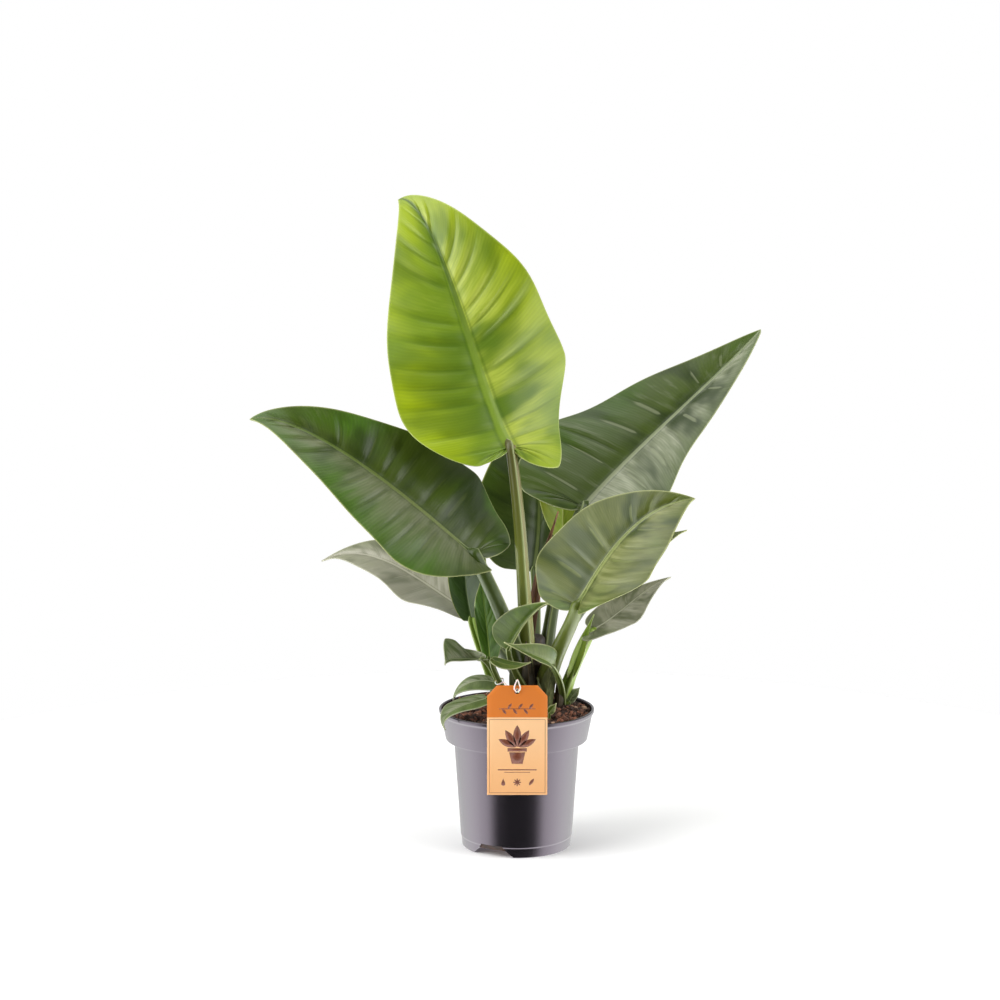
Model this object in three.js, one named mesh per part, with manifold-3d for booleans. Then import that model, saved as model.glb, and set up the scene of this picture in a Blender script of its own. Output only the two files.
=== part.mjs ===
// A potted imperial green philodendron in a plastic grower's pot.
// Millimetres, +Z up. The origin is on the floor under the middle of the pot,
// +X is to the right of the plant's front and -Y is the way the front faces.
import * as THREE from "three";
import { mergeVertices } from "three/addons/utils/BufferGeometryUtils.js";
import Module from "manifold-3d";

const wasm = await Module();
wasm.setup();

// Pot
const POT_SEGMENTS = 32;
const POT_WALL = 1.3;
const POT_FOOT_RADIUS = 53.5;
const POT_STEP_HEIGHT = 10;
const POT_STEP = 0.6;
const POT_NECK_RADIUS = 60.6;
const POT_NECK_HEIGHT = 104;
const RIM_LOW_RADIUS = 68.4;
const RIM_TOP_RADIUS = 74;
const RIM_LIP_RADIUS = 75;
const POT_HEIGHT = 134;
const POT_FLOOR_HEIGHT = 4;
const POT_FLOOR_THICKNESS = 1.3;
const POT_PAD_RADIUS = 14;
const DRAIN_HOLES = 8;
const DRAIN_HOLE_RADIUS = 4;
const DRAIN_HOLE_CIRCLE = 34;
const NOTCH_HEIGHT = 11;
const NOTCH_BASE_WIDTH = 43;
const NOTCH_TOP_WIDTH = 22;
const NOTCH_ANGLES = [-27, 153];

// Soil
const GAP = 0.3;
const CUT_GAP = 0.55;
const SOIL_BOTTOM = POT_FLOOR_HEIGHT + POT_FLOOR_THICKNESS + GAP;
const SOIL_EDGE_HEIGHT = 129;
const SOIL_CROWN = 7;
const SOIL_BACK_RISE = 4;
const SOIL_RINGS = 6;
const SOIL_SECTORS = POT_SEGMENTS;
const SOIL_RELIEF = 1.1;

// Tag and the loop that ties it to the plant
const TAG_WIDTH = 56;
const TAG_BOTTOM = 69;
const TAG_TOP = 173;
const TAG_CORNER_WIDTH = 9;
const TAG_CORNER_HEIGHT = 10;
const TAG_THICKNESS = 0.8;
const TAG_FRONT_Y = -79;
const TAG_HOLE_RADIUS = 2.6;
const TAG_HOLE_HEIGHT = 167.5;
const LOOP_RADIUS = 0.65;

// Leaves
const LOBE_ROWS = 0.14;
const WIDE_ROWS = 0.42;
const FAN_ROWS = 0.26;
const BLADE_EDGE = 0.7;
const BLADE_RIB = 1.4;
const RIB_SPREAD = 0.07;
const STALK_SECTION = [
  [0, 0.55],
  [46, 1.12],
  [100, 1.0],
  [155, 0.96],
  [205, 0.96],
  [260, 1.0],
  [314, 1.12],
];
const YOUNG_SECTION = [
  [0, 0.8],
  [60, 1.05],
  [130, 1],
  [180, 1],
  [230, 1],
  [300, 1.05],
];

const radians = THREE.MathUtils.degToRad;
const mix = THREE.MathUtils.lerp;

function seededRandom(seed) {
  let state = seed;
  return () => {
    state = (state * 1664525 + 1013904223) % 4294967296;
    return state / 4294967296;
  };
}

// The half of a blade on one side of its midrib. Lengths are in millimetres, the others are parts of one:
// reach is the half's greatest width, lobe how far its lobe runs back past the stalk, and ripple the size,
// count and shift of the margin's bays.
function half(reach, lobe, widest, shape = {}) {
  return {
    reach,
    lobe,
    widest,
    lobeReach: 0.45,
    shoulder: 0.5,
    roundness: 0.6,
    taper: 0.35,
    point: 0.25,
    fold: [12, 10],
    curl: [-10, -10],
    ripple: [0.015, 3, 0.2],
    ...shape,
  };
}

// Each leaf: its midrib as four curve points from the stalk to the tip, the way its upper face looks at both
// ends (azimuth from the front towards +X, and elevation), its two halves, its edge waves, and its stalk.
const LEAVES = [
  {
    name: "tall",
    midrib: [[-6, -2, 388], [-35, 19, 430], [-79, 61, 636], [-116, 85, 622]],
    face: [[9, 18], [-10, 22]],
    left: half(88, 9, 0.27, {
      lobeReach: 0.41, shoulder: 0.23, roundness: 0.55, taper: 0.44, point: 0.04, fold: [9, 0], curl: [-9, -11],
      ripple: [0.012, 4.5, 0.63],
    }),
    right: half(89, 34, 0.25, {
      lobeReach: 0.37, shoulder: 0.15, roundness: 0.25, taper: 0.45, point: 0.04, fold: [-13, 21], curl: [-23, -5],
      ripple: [0.02, 4.5, 0.51],
    }),
    wave: { depth: 2.6, count: 5 },
    rows: 16,
    columns: 5,
    colors: { blade: 0x86a52a, stalk: 0x5d6a2c },
    stalk: { route: [[12, 14, 164], [7, 0, 230], [6, -2, 308]], radii: [7.2, 5.2], groove: 70 },
  },
  {
    name: "left",
    midrib: [[-41, -20, 287], [-50, -19, 293], [-195, -10, 430], [-255, 8, 413]],
    face: [[-14, 61], [-10, 41]],
    left: half(70, 23, 0.23, {
      lobeReach: 0.03, shoulder: 0.05, roundness: 0.8, taper: 0.29, point: 0.055, fold: [25, 11], curl: [-42, -20],
      ripple: [0.02, 3, 0],
    }),
    right: half(78, 24, 0.16, {
      lobeReach: 0.5, shoulder: 0.15, roundness: 0.35, taper: 0.2, point: 0.02, fold: [8, 19], curl: [-16, -8],
      ripple: [0.02, 3.5, 0.39],
    }),
    wave: { depth: 2.6, count: 5 },
    rows: 16,
    columns: 5,
    colors: { blade: 0x47642f, stalk: 0x7d9440 },
    stalk: { route: [[4, 14, 162], [-5, -6, 213], [-24, -22, 253]], radii: [8.5, 6.5], groove: 120 },
  },
  {
    name: "right",
    midrib: [[66, 48, 324], [121, 94, 380], [201, 129, 441], [253, 172, 492]],
    face: [[-6, 36], [-4, 39]],
    left: half(90, 25, 0.15, {
      lobeReach: 0.62, shoulder: 0.61, roundness: 0.5, taper: 0.05, point: 0.05, fold: [4, 5], curl: [-16, -17],
      ripple: [0.03, 4.5, 0.97],
    }),
    right: half(75, 10, 0.12, {
      lobeReach: 0.48, shoulder: 0.46, roundness: 0.51, taper: 0.05, point: 0.02, fold: [31, 24], curl: [-13, 6],
      ripple: [0.025, 3, 0.78],
    }),
    wave: { depth: 2.6, count: 5 },
    rows: 16,
    columns: 5,
    colors: { blade: 0x465f32, stalk: 0x76893f },
    stalk: { route: [[28, 26, 166], [32, 30, 214], [45, 40, 287]], radii: [6.2, 5.2], groove: -60 },
  },
  {
    name: "front",
    midrib: [[56, -52, 243], [83, -74, 297], [109, -95, 344], [160, -105, 351]],
    face: [[0, 45], [6, 43]],
    left: half(58, 22, 0.1, {
      lobeReach: 0.58, shoulder: 0.46, roundness: 0.55, taper: 0.4, point: 0.03, fold: [28, 9], curl: [0, -11],
      ripple: [0.012, 4.5, 0.5],
    }),
    right: half(53, 0, 0.54, {
      lobeReach: 0.2, shoulder: 0.15, roundness: 0.31, taper: 0.36, point: 0.16, fold: [24, 3], curl: [-17, -15],
      ripple: [0.02, 2.5, 0.31],
    }),
    wave: { depth: 1.9, count: 4 },
    rows: 17,
    columns: 5,
    colors: { blade: 0x5f7d3a, stalk: 0x8aa050 },
    stalk: { route: [[28, 12, 158], [38, -16, 196], [50, -42, 218]], radii: [8.5, 6], groove: 150 },
  },
  {
    name: "back",
    midrib: [[19, 118, 248], [28, 141, 295], [27, 150, 364], [14, 172, 425]],
    face: [[-1, 15], [0, 22]],
    left: half(67, 0, 0.38, { fold: [25, 10] }),
    right: half(29, 0, 0.57, { fold: [18, 10] }),
    wave: { depth: 1.7, count: 4 },
    rows: 14,
    columns: 4,
    colors: { blade: 0x35502a, stalk: 0x6f8240 },
    stalk: { route: [[17, 32, 170], [19, 70, 191], [22, 108, 210]], radii: [6, 4.6], groove: 0 },
  },
  {
    name: "lime",
    midrib: [[47, 78, 284], [46, 93, 308], [52, 104, 340], [36, 118, 400]],
    face: [[14, 18], [-1, 22]],
    left: half(31, 0, 0.48, { fold: [50, 9] }),
    right: half(17, 0, 0.5, { fold: [13, 10] }),
    wave: { depth: 1.1, count: 3 },
    rows: 11,
    columns: 3,
    colors: { blade: 0x93a83a, stalk: 0x93a04a },
    stalk: { route: [[24, 32, 168], [31, 52, 208], [44, 72, 237]], radii: [5.5, 4], groove: 0 },
  },
  {
    name: "low_left",
    midrib: [[-44, 58, 215], [-97, 77, 244], [-144, 91, 290], [-197, 105, 261]],
    face: [[-20, 66], [-20, 53]],
    left: half(49, 6, 0.28, { fold: [34, 5], ripple: [0.06, 3, 0.78] }),
    right: half(39, 0, 0.34, { fold: [10, 14] }),
    wave: { depth: 1.7, count: 4 },
    rows: 14,
    columns: 4,
    colors: { blade: 0x8d9578, stalk: 0x8b9a4e },
    stalk: { route: [[4, 27, 158], [-14, 46, 179], [-26, 60, 193]], radii: [6, 4.6], groove: 60 },
  },
  {
    name: "low_right",
    midrib: [[73, 20, 206], [101, 36, 216], [128, 49, 247], [153, 55, 253]],
    face: [[8, 61], [9, 60]],
    left: half(19, 1, 0.27, { fold: [20, 3] }),
    right: half(30, 19, 0.29, { fold: [30, 13], ripple: [0.05, 2, 0.18] }),
    wave: { depth: 1.1, count: 3 },
    rows: 11,
    columns: 3,
    colors: { blade: 0x8c967a, stalk: 0x8fb032 },
    stalk: { route: [[44, 24, 126], [52, 18, 169], [66, 16, 187]], radii: [6.5, 4.5], groove: -40 },
    wing: {
      midrib: [[52, 16, 160], [59, 11, 182], [66, 9, 203], [75, 8, 224]],
      face: [[0, 10], [0, 10]],
      left: half(6, 0, 0.35, { fold: [35, 25] }),
      right: half(6, 0, 0.35, { fold: [35, 25] }),
    },
  },
  {
    name: "low_back",
    midrib: [[85, 55, 245], [113, 78, 270], [147, 101, 284], [175, 125, 290]],
    face: [[9, 57], [10, 60]],
    left: half(17, 0, 0.36, { fold: [11, 10] }),
    right: half(16, 4, 0.35, { fold: [15, 10] }),
    wave: { depth: 0.9, count: 3 },
    rows: 10,
    columns: 3,
    colors: { blade: 0x4c6433, stalk: 0x768a40 },
    stalk: { route: [[29, 28, 164], [45, 42, 197], [69, 50, 225]], radii: [5, 3.6], groove: -60 },
  },
  {
    name: "shade",
    midrib: [[-43, 20, 215], [-49, 33, 237], [-55, 37, 269], [-45, 46, 312]],
    face: [[-16, 17], [1, 20]],
    left: half(17, 0, 0.45, { fold: [15, 10] }),
    right: half(22, 0, 0.56, { fold: [30, 8] }),
    wave: { depth: 0.9, count: 3 },
    rows: 10,
    columns: 3,
    colors: { blade: 0x24381c, stalk: 0x9db43c },
    stalk: { route: [[-13, 17, 126], [-28, 18, 173], [-37, 20, 191]], radii: [6, 4.4], groove: 0 },
  },
  {
    name: "upright",
    midrib: [[-26, 4, 180], [-27, 10, 203], [-32, 13, 230], [-34, 16, 261]],
    face: [[-7, 15], [0, 18]],
    left: half(10, 0, 0.6, { fold: [12, 9] }),
    right: half(15, 0, 0.6, { fold: [15, 8] }),
    wave: { depth: 1.1, count: 4 },
    rows: 10,
    columns: 3,
    colors: { blade: 0x6d8f34, stalk: 0x93ab45 },
    stalk: { route: [[-9, 10, 126], [-17, 6, 158], [-22, 3, 168]], radii: [4.6, 3.2], groove: 0 },
  },
];

// Small leaves round the foot of the plant, each one piece with its stalk.
const YOUNG_LEAVES = [
  {
    midrib: [[-33, -18, 186], [-56, -4, 183], [-66, -33, 190], [-67, -60, 189]],
    face: [[-5, 59], [-29, 29]],
    left: half(5, 5, 0.34),
    right: half(23, 11, 0.43, { fold: [32, 44] }),
    stalk: { route: [[-11, 3, 126], [-16, -8, 161], [-23, -16, 178]], radii: [3.4, 2.4] },
  },
  {
    midrib: [[-24, -32, 188], [-13, -35, 184], [0, -38, 180], [13, -42, 188]],
    face: [[0, 62], [0, 58]],
    left: half(6, 0, 0.38),
    right: half(8, 0, 0.39),
    stalk: { route: [[-2, -2, 126], [-10, -16, 158], [-24, -26, 172]], radii: [3.2, 2.2] },
  },
  {
    midrib: [[-8, -30, 197], [-1, -31, 214], [20, -28, 245], [34, -22, 240]],
    face: [[-21, 20], [-20, 40]],
    left: half(26, 3, 0.14, { fold: [8, 9] }),
    right: half(7, 0, 0.33, { fold: [60, 60] }),
    stalk: { route: [[7, 1, 152], [-1, -14, 172], [-7, -27, 183]], radii: [4, 2.8] },
  },
  {
    midrib: [[33, -30, 181], [35, -42, 189], [4, -56, 200], [-12, -62, 211]],
    face: [[0, 40], [0, 50]],
    left: half(5, 0, 0.35),
    right: half(15, 9, 0.21, { fold: [28, 10] }),
    stalk: { route: [[44, 22, 124], [46, 4, 152], [41, -16, 167]], radii: [4.2, 2.6] },
  },
  {
    midrib: [[-20, -8, 160], [-38, -4, 167], [-62, -6, 155], [-62, 6, 138]],
    face: [[0, 51], [-39, 38]],
    left: half(13, 0, 0.18),
    right: half(7, 0, 0.4),
    stalk: { route: [[-14, 9, 124], [-13, 3, 141], [-16, -4, 152]], radii: [3, 2.2] },
  },
  {
    midrib: [[-28, -25, 149], [-45, -37, 147], [-78, -48, 141], [-68, -52, 124]],
    face: [[-2, 53], [-31, 50]],
    left: half(11, 0, 0.3),
    right: half(10, 0, 0.6),
    stalk: { route: [[-10, -6, 122], [-12, -11, 138], [-18, -19, 146]], radii: [3, 2.2] },
  },
  {
    midrib: [[52, 14, 136], [53, 15, 142], [59, 16, 146], [62, 18, 150]],
    face: [[-1, 41], [0, 40]],
    left: half(7, 0, 0.41),
    right: half(5, 0, 0.42),
    stalk: { route: [[49, 13, 124], [50, 13, 129], [51, 14, 133]], radii: [2, 1.5] },
  },
  {
    midrib: [[31, -34, 136], [32, -35, 139], [35, -37, 143], [37, -38, 147]],
    face: [[0, 35], [0, 40]],
    left: half(4, 0, 0.4),
    right: half(4, 0, 0.4),
    stalk: { route: [[29, -32, 122], [30, -33, 127], [31, -34, 132]], radii: [1.6, 1.3] },
  },
];

// Dry sheath: a long pointed trough standing among the stalks.
const SHEATH = {
  midrib: [[14, 22, 194], [14, 24, 235], [30, 22, 290], [40, 20, 323]],
  face: [[0, 10], [-20, 10]],
  left: half(6, 0, 0.3, { fold: [45, 35] }),
  right: half(6, 0, 0.3, { fold: [45, 35] }),
  rows: 12,
  columns: 2,
};

// Stems: the thick old one and a short side shoot.
const STEM = { foot: [18, 19, 112], top: [16, 22, 202], radii: [16.5, 11], nodes: 6 };
const SIDE_STEM = { foot: [-5, 8, 118], top: [-6, 7, 148], radii: [9, 7], nodes: 3 };

function cubic(points, t) {
  const [a, b, c, d] = points;
  const s = 1 - t;
  return s * s * s * a + 3 * s * s * t * b + 3 * s * t * t * c + t * t * t * d;
}

function direction([azimuth, elevation]) {
  const a = radians(azimuth);
  const e = radians(elevation);
  return new THREE.Vector3(Math.sin(a) * Math.cos(e), -Math.cos(a) * Math.cos(e), Math.sin(e));
}

function vector(point) {
  return new THREE.Vector3(...point);
}

function curveThrough(points) {
  return new THREE.CubicBezierCurve3(...points.map(vector));
}

// Margin of one half laid flat: along the midrib and out from it, for k from the stalk round the lobe to the tip.
function margin(k, length, side) {
  const { reach, lobe } = side;
  const widest = side.widest * length;
  const lobeReach = side.lobeReach * reach;
  if (k <= LOBE_ROWS) {
    const t = k / LOBE_ROWS;
    return [
      cubic([0, -0.6 * lobe, -lobe, -lobe], t),
      cubic([0, 0.02 * reach, 0.55 * lobeReach, lobeReach], t),
    ];
  }
  if (k <= WIDE_ROWS) {
    const t = (k - LOBE_ROWS) / (WIDE_ROWS - LOBE_ROWS);
    const shoulder = mix(lobeReach, reach, side.shoulder);
    return [
      cubic([-lobe, -lobe, widest - side.roundness * (widest + lobe), widest], t),
      cubic([lobeReach, shoulder, reach, reach], t),
    ];
  }
  const t = (k - WIDE_ROWS) / (1 - WIDE_ROWS);
  const rest = length - widest;
  return [
    cubic([widest, widest + side.taper * rest, length - side.point * rest, length], t),
    cubic([reach, reach, 0.1 * reach, 0], t),
  ];
}

// How far the margin's bays widen or narrow the blade at row k, fading out at the notch and the tip.
function rippleAt(k, side) {
  const [size, count, shift] = side.ripple;
  const fade = Math.sqrt(Math.max(Math.sin(Math.PI * k), 0));
  return 1 + size * fade * Math.sin(2 * Math.PI * (count * k + shift));
}

// A side vein leaves the midrib at a slant and turns out to the margin: its flat point for u from 0 to 1.
function veinPoint(k, u, length, side) {
  const climb = THREE.MathUtils.clamp((k - FAN_ROWS) / (1 - FAN_ROWS), 0, 1);
  const root = climb ** 1.1 * length * 0.985;
  const [along, reached] = margin(k, length, side);
  const out = reached * rippleAt(k, side);
  const bendAlong = root + 0.3 * (along - root);
  const s = 1 - u;
  return [
    s * s * root + 2 * s * u * bendAlong + u * u * along,
    2 * s * u * 0.55 * out + u * u * out,
  ];
}

// Bends a flat point of a blade into space: along the curved midrib, folded up at it and curled towards the edge.
function bladeFrame(leaf) {
  const curve = curveThrough(leaf.midrib);
  const length = curve.getLength();
  const chord = vector(leaf.midrib[3]).sub(vector(leaf.midrib[0])).normalize();
  const faces = leaf.face.map(direction);
  return (side, hand, along, out, k) => {
    const fraction = THREE.MathUtils.clamp(along / length, 0, 1);
    const point = curve.getPointAt(fraction);
    const tangent = curve.getTangentAt(fraction);
    const face = faces[0].clone().lerp(faces[1], fraction);
    const across = chord.clone().cross(face).normalize();
    const normal = across.clone().cross(tangent).normalize();
    const fold = radians(mix(...side.fold, fraction));
    const bend = radians(mix(...side.curl, fraction)) / side.reach || 1e-6;
    const slope = fold + bend * out;
    const sideways = (Math.sin(slope) - Math.sin(fold)) / bend;
    const upwards = (Math.cos(fold) - Math.cos(slope)) / bend;
    point.addScaledVector(tangent, along - fraction * length);
    point.addScaledVector(across, hand * sideways);
    point.addScaledVector(normal, upwards);
    const upper = normal.clone();
    if (out > 0) {
      upper.multiplyScalar(Math.cos(slope)).addScaledVector(across, -hand * Math.sin(slope));
    }
    const wave = leaf.wave ?? { depth: 0, count: 0 };
    const swell = wave.depth * (out / side.reach) ** 2;
    point.addScaledVector(upper, swell * Math.sin(2 * Math.PI * (wave.count * k + 0.2 * hand)));
    return { point, upper };
  };
}

// Rows of a blade are closer together round the lobes and at the tip.
function rowPosition(i, rows) {
  const t = i / rows;
  return t - 0.05 * Math.sin(2 * Math.PI * t);
}

// A closed thin shell: an upper and a lower face cut into the same triangles, with a wall round the margin.
// It is thicker along the midrib, and grown widens it all round by that many millimetres.
function bladeGeometry(leaf, grown = 0) {
  const rows = leaf.rows ?? 10;
  const columns = leaf.columns ?? 2;
  const curve = curveThrough(leaf.midrib);
  const length = curve.getLength();
  const chord = vector(leaf.midrib[3]).sub(vector(leaf.midrib[0])).normalize();
  const bend = bladeFrame(leaf);
  const corners = [];
  for (const hand of [-1, 1]) {
    const side = hand < 0 ? leaf.left : leaf.right;
    const grid = [];
    for (let i = 0; i <= rows; i += 1) {
      const k = i === rows ? 1 : rowPosition(i, rows);
      const row = [];
      for (let j = 0; j <= columns; j += 1) {
        const u = (j / columns) ** 1.3;
        const [along, out] = veinPoint(k, u, length, side);
        const { point, upper } = bend(side, hand, along, Math.max(out, 0), k);
        if (along === 0 && out === 0) {
          point.addScaledVector(chord, -2 * grown);
        }
        const rib = Math.exp(-((out / (RIB_SPREAD * side.reach)) ** 2));
        const thickness = mix(BLADE_EDGE, BLADE_RIB, rib);
        const top = point.clone().addScaledVector(upper, grown);
        const bottom = point.clone().addScaledVector(upper, -thickness - grown);
        row.push({ top, bottom, upper });
      }
      grid.push(row);
    }
    widenMargin(grid, columns, grown * hand);
    addShell(corners, grid, hand);
  }
  return weld(corners);
}

// Moves the margin of a grown blade outwards in the blade's own surface.
function widenMargin(grid, columns, distance) {
  const outwards = grid.map((row, i) => {
    const before = grid[Math.max(i - 1, 0)][columns].top;
    const after = grid[Math.min(i + 1, grid.length - 1)][columns].top;
    return after.clone().sub(before).cross(row[columns].upper).setLength(distance);
  });
  for (let i = 1; i < grid.length - 1; i += 1) {
    grid[i][columns].top.add(outwards[i]);
    grid[i][columns].bottom.add(outwards[i]);
  }
}

function addShell(corners, grid, hand) {
  const add = (a, b, c) => (hand > 0 ? corners.push(a, b, c) : corners.push(a, c, b));
  for (let i = 0; i < grid.length - 1; i += 1) {
    const last = grid[i].length - 1;
    for (let j = 0; j < last; j += 1) {
      const [a, b, c, d] = [grid[i][j], grid[i][j + 1], grid[i + 1][j + 1], grid[i + 1][j]];
      add(a.top, b.top, c.top);
      add(a.top, c.top, d.top);
      add(a.bottom, c.bottom, b.bottom);
      add(a.bottom, d.bottom, c.bottom);
    }
    const [near, far] = [grid[i][last], grid[i + 1][last]];
    add(near.top, near.bottom, far.bottom);
    add(near.top, far.bottom, far.top);
  }
}

// Joins loose triangle corners into one closed body and drops the triangles that have shrunk to a line.
function weld(corners) {
  const loose = new THREE.BufferGeometry();
  const positions = corners.flatMap((corner) => [corner.x, corner.y, corner.z]);
  loose.setAttribute("position", new THREE.Float32BufferAttribute(positions, 3));
  return dropSlivers(mergeVertices(loose, 1e-3));
}

function dropSlivers(geometry) {
  const index = geometry.index.array;
  const kept = [];
  for (let i = 0; i < index.length; i += 3) {
    const [a, b, c] = [index[i], index[i + 1], index[i + 2]];
    if (a !== b && b !== c && c !== a) {
      kept.push(a, b, c);
    }
  }
  geometry.setIndex(kept);
  return geometry;
}

// Sweeps a section, given as angles and radii about the path, along points with a radius each. Angle 0 looks
// towards the given direction, and the ends are closed.
function sweep(points, radii, section, towards) {
  const corners = [];
  const rings = points.map((centre, i) => {
    const before = points[Math.max(i - 1, 0)];
    const after = points[Math.min(i + 1, points.length - 1)];
    const tangent = after.clone().sub(before).normalize();
    const front = towards.clone().addScaledVector(tangent, -towards.dot(tangent)).normalize();
    const beside = tangent.clone().cross(front);
    return section.map(([angle, size]) => {
      const turn = radians(angle);
      const radius = radii[i] * size;
      return centre
        .clone()
        .addScaledVector(front, radius * Math.cos(turn))
        .addScaledVector(beside, radius * Math.sin(turn));
    });
  });
  const count = section.length;
  for (let i = 0; i < rings.length - 1; i += 1) {
    for (let j = 0; j < count; j += 1) {
      const next = (j + 1) % count;
      const [a, b] = [rings[i][j], rings[i][next]];
      const [c, d] = [rings[i + 1][next], rings[i + 1][j]];
      corners.push(a, b, c, a, c, d);
    }
  }
  const [first, last] = [rings[0], rings[rings.length - 1]];
  for (let j = 0; j < count; j += 1) {
    const next = (j + 1) % count;
    corners.push(points[0], first[next], first[j]);
    corners.push(points[points.length - 1], last[j], last[next]);
  }
  return weld(corners);
}

// Moves the two ends of a path outwards along it.
function lengthen(points, distance) {
  const [first, second] = points;
  const [beforeLast, last] = points.slice(-2);
  first.add(first.clone().sub(second).setLength(distance));
  last.add(last.clone().sub(beforeLast).setLength(distance));
}

// A leaf stalk, channelled on its upper side, that runs on under the foot of its blade's midrib.
function stalkGeometry(leaf, grown = 0, steps = 6, section = STALK_SECTION) {
  const { route, radii, groove = 0 } = leaf.stalk;
  const path = curveThrough([...route, leaf.midrib[0]]);
  const rib = curveThrough(leaf.midrib);
  const ribLength = rib.getLength();
  const under = direction(leaf.face[0]).negate();
  const points = [];
  const sizes = [];
  for (let i = 0; i <= steps; i += 1) {
    const t = i / steps;
    points.push(path.getPointAt(t));
    sizes.push(mix(...radii, t) * (1 + 0.25 * (1 - t) ** 4) + grown);
  }
  for (const [run, share] of [[1.6, 0.55], [3.4, 0.22]]) {
    const radius = radii[1] * share;
    const point = rib.getPointAt(Math.min((run * radii[1]) / ribLength, 0.5));
    points.push(point.addScaledVector(under, radius + 1));
    sizes.push(radius + grown);
  }
  lengthen(points, grown);
  return sweep(points, sizes, section, direction([groove, 0]));
}

// A stem with the rings that fallen leaves have left on it.
function stemGeometry(stem, grown = 0) {
  const [foot, top] = [vector(stem.foot), vector(stem.top)];
  const steps = stem.nodes * 2;
  const points = [];
  const sizes = [];
  for (let i = 0; i <= steps; i += 1) {
    const t = i / steps;
    const ring = i % 2 === 1 ? 0.9 : 0;
    points.push(foot.clone().lerp(top, t));
    sizes.push(mix(...stem.radii, t) + ring + grown);
  }
  points.push(top.clone().addScaledVector(top.clone().sub(foot).normalize(), 3));
  sizes.push(0.55 * stem.radii[1] + grown);
  lengthen(points, grown);
  const section = Array.from({ length: 12 }, (_, i) => [i * 30, 1 + 0.05 * Math.sin(i * 2.4)]);
  return sweep(points, sizes, section, new THREE.Vector3(0, -1, 0));
}

function tubeGeometry(curve, radius, steps, sides = 5) {
  const points = curve.getSpacedPoints(steps);
  const section = Array.from({ length: sides }, (_, i) => [(i * 360) / sides, 1]);
  return sweep(points, points.map(() => radius), section, new THREE.Vector3(0.31, 0.2, 0.93));
}

// Solids that can be joined and cut.
function solid(geometry) {
  const bare = new THREE.BufferGeometry();
  bare.setAttribute("position", geometry.getAttribute("position").clone());
  bare.setIndex(geometry.index ? Array.from(geometry.index.array) : null);
  const merged = dropSlivers(mergeVertices(bare, 1e-3));
  const vertProperties = new Float32Array(merged.getAttribute("position").array);
  const triVerts = new Uint32Array(merged.index.array);
  return new wasm.Manifold(new wasm.Mesh({ numProp: 3, vertProperties, triVerts }));
}

function geometryOf(body) {
  const mesh = body.getMesh();
  const geometry = new THREE.BufferGeometry();
  geometry.setAttribute("position", new THREE.Float32BufferAttribute(mesh.vertProperties, 3));
  geometry.setIndex(Array.from(mesh.triVerts));
  return geometry;
}

// Cuts the tools away and keeps the largest piece that is left.
function carve(body, tools) {
  let cut = body;
  for (const tool of tools) {
    cut = cut.subtract(tool);
  }
  const pieces = cut.decompose().sort((a, b) => b.volume() - a.volume());
  return pieces[0];
}

function shiny(color, roughness, extra = {}) {
  return new THREE.MeshStandardMaterial({ color, roughness, metalness: 0, ...extra });
}

function named(name, geometry, material) {
  geometry.computeVertexNormals();
  const mesh = new THREE.Mesh(geometry, material);
  mesh.name = name;
  return mesh;
}

// Outer and inner radius of the pot's wall at a height, up to the rim band and then within it.
function wallRadius(height, inset) {
  if (height <= POT_NECK_HEIGHT) {
    return mix(POT_FOOT_RADIUS, POT_NECK_RADIUS, height / POT_NECK_HEIGHT) - inset;
  }
  const t = (height - POT_NECK_HEIGHT) / (POT_HEIGHT - POT_NECK_HEIGHT);
  return mix(RIM_LOW_RADIUS, RIM_TOP_RADIUS, t) - inset;
}

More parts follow.
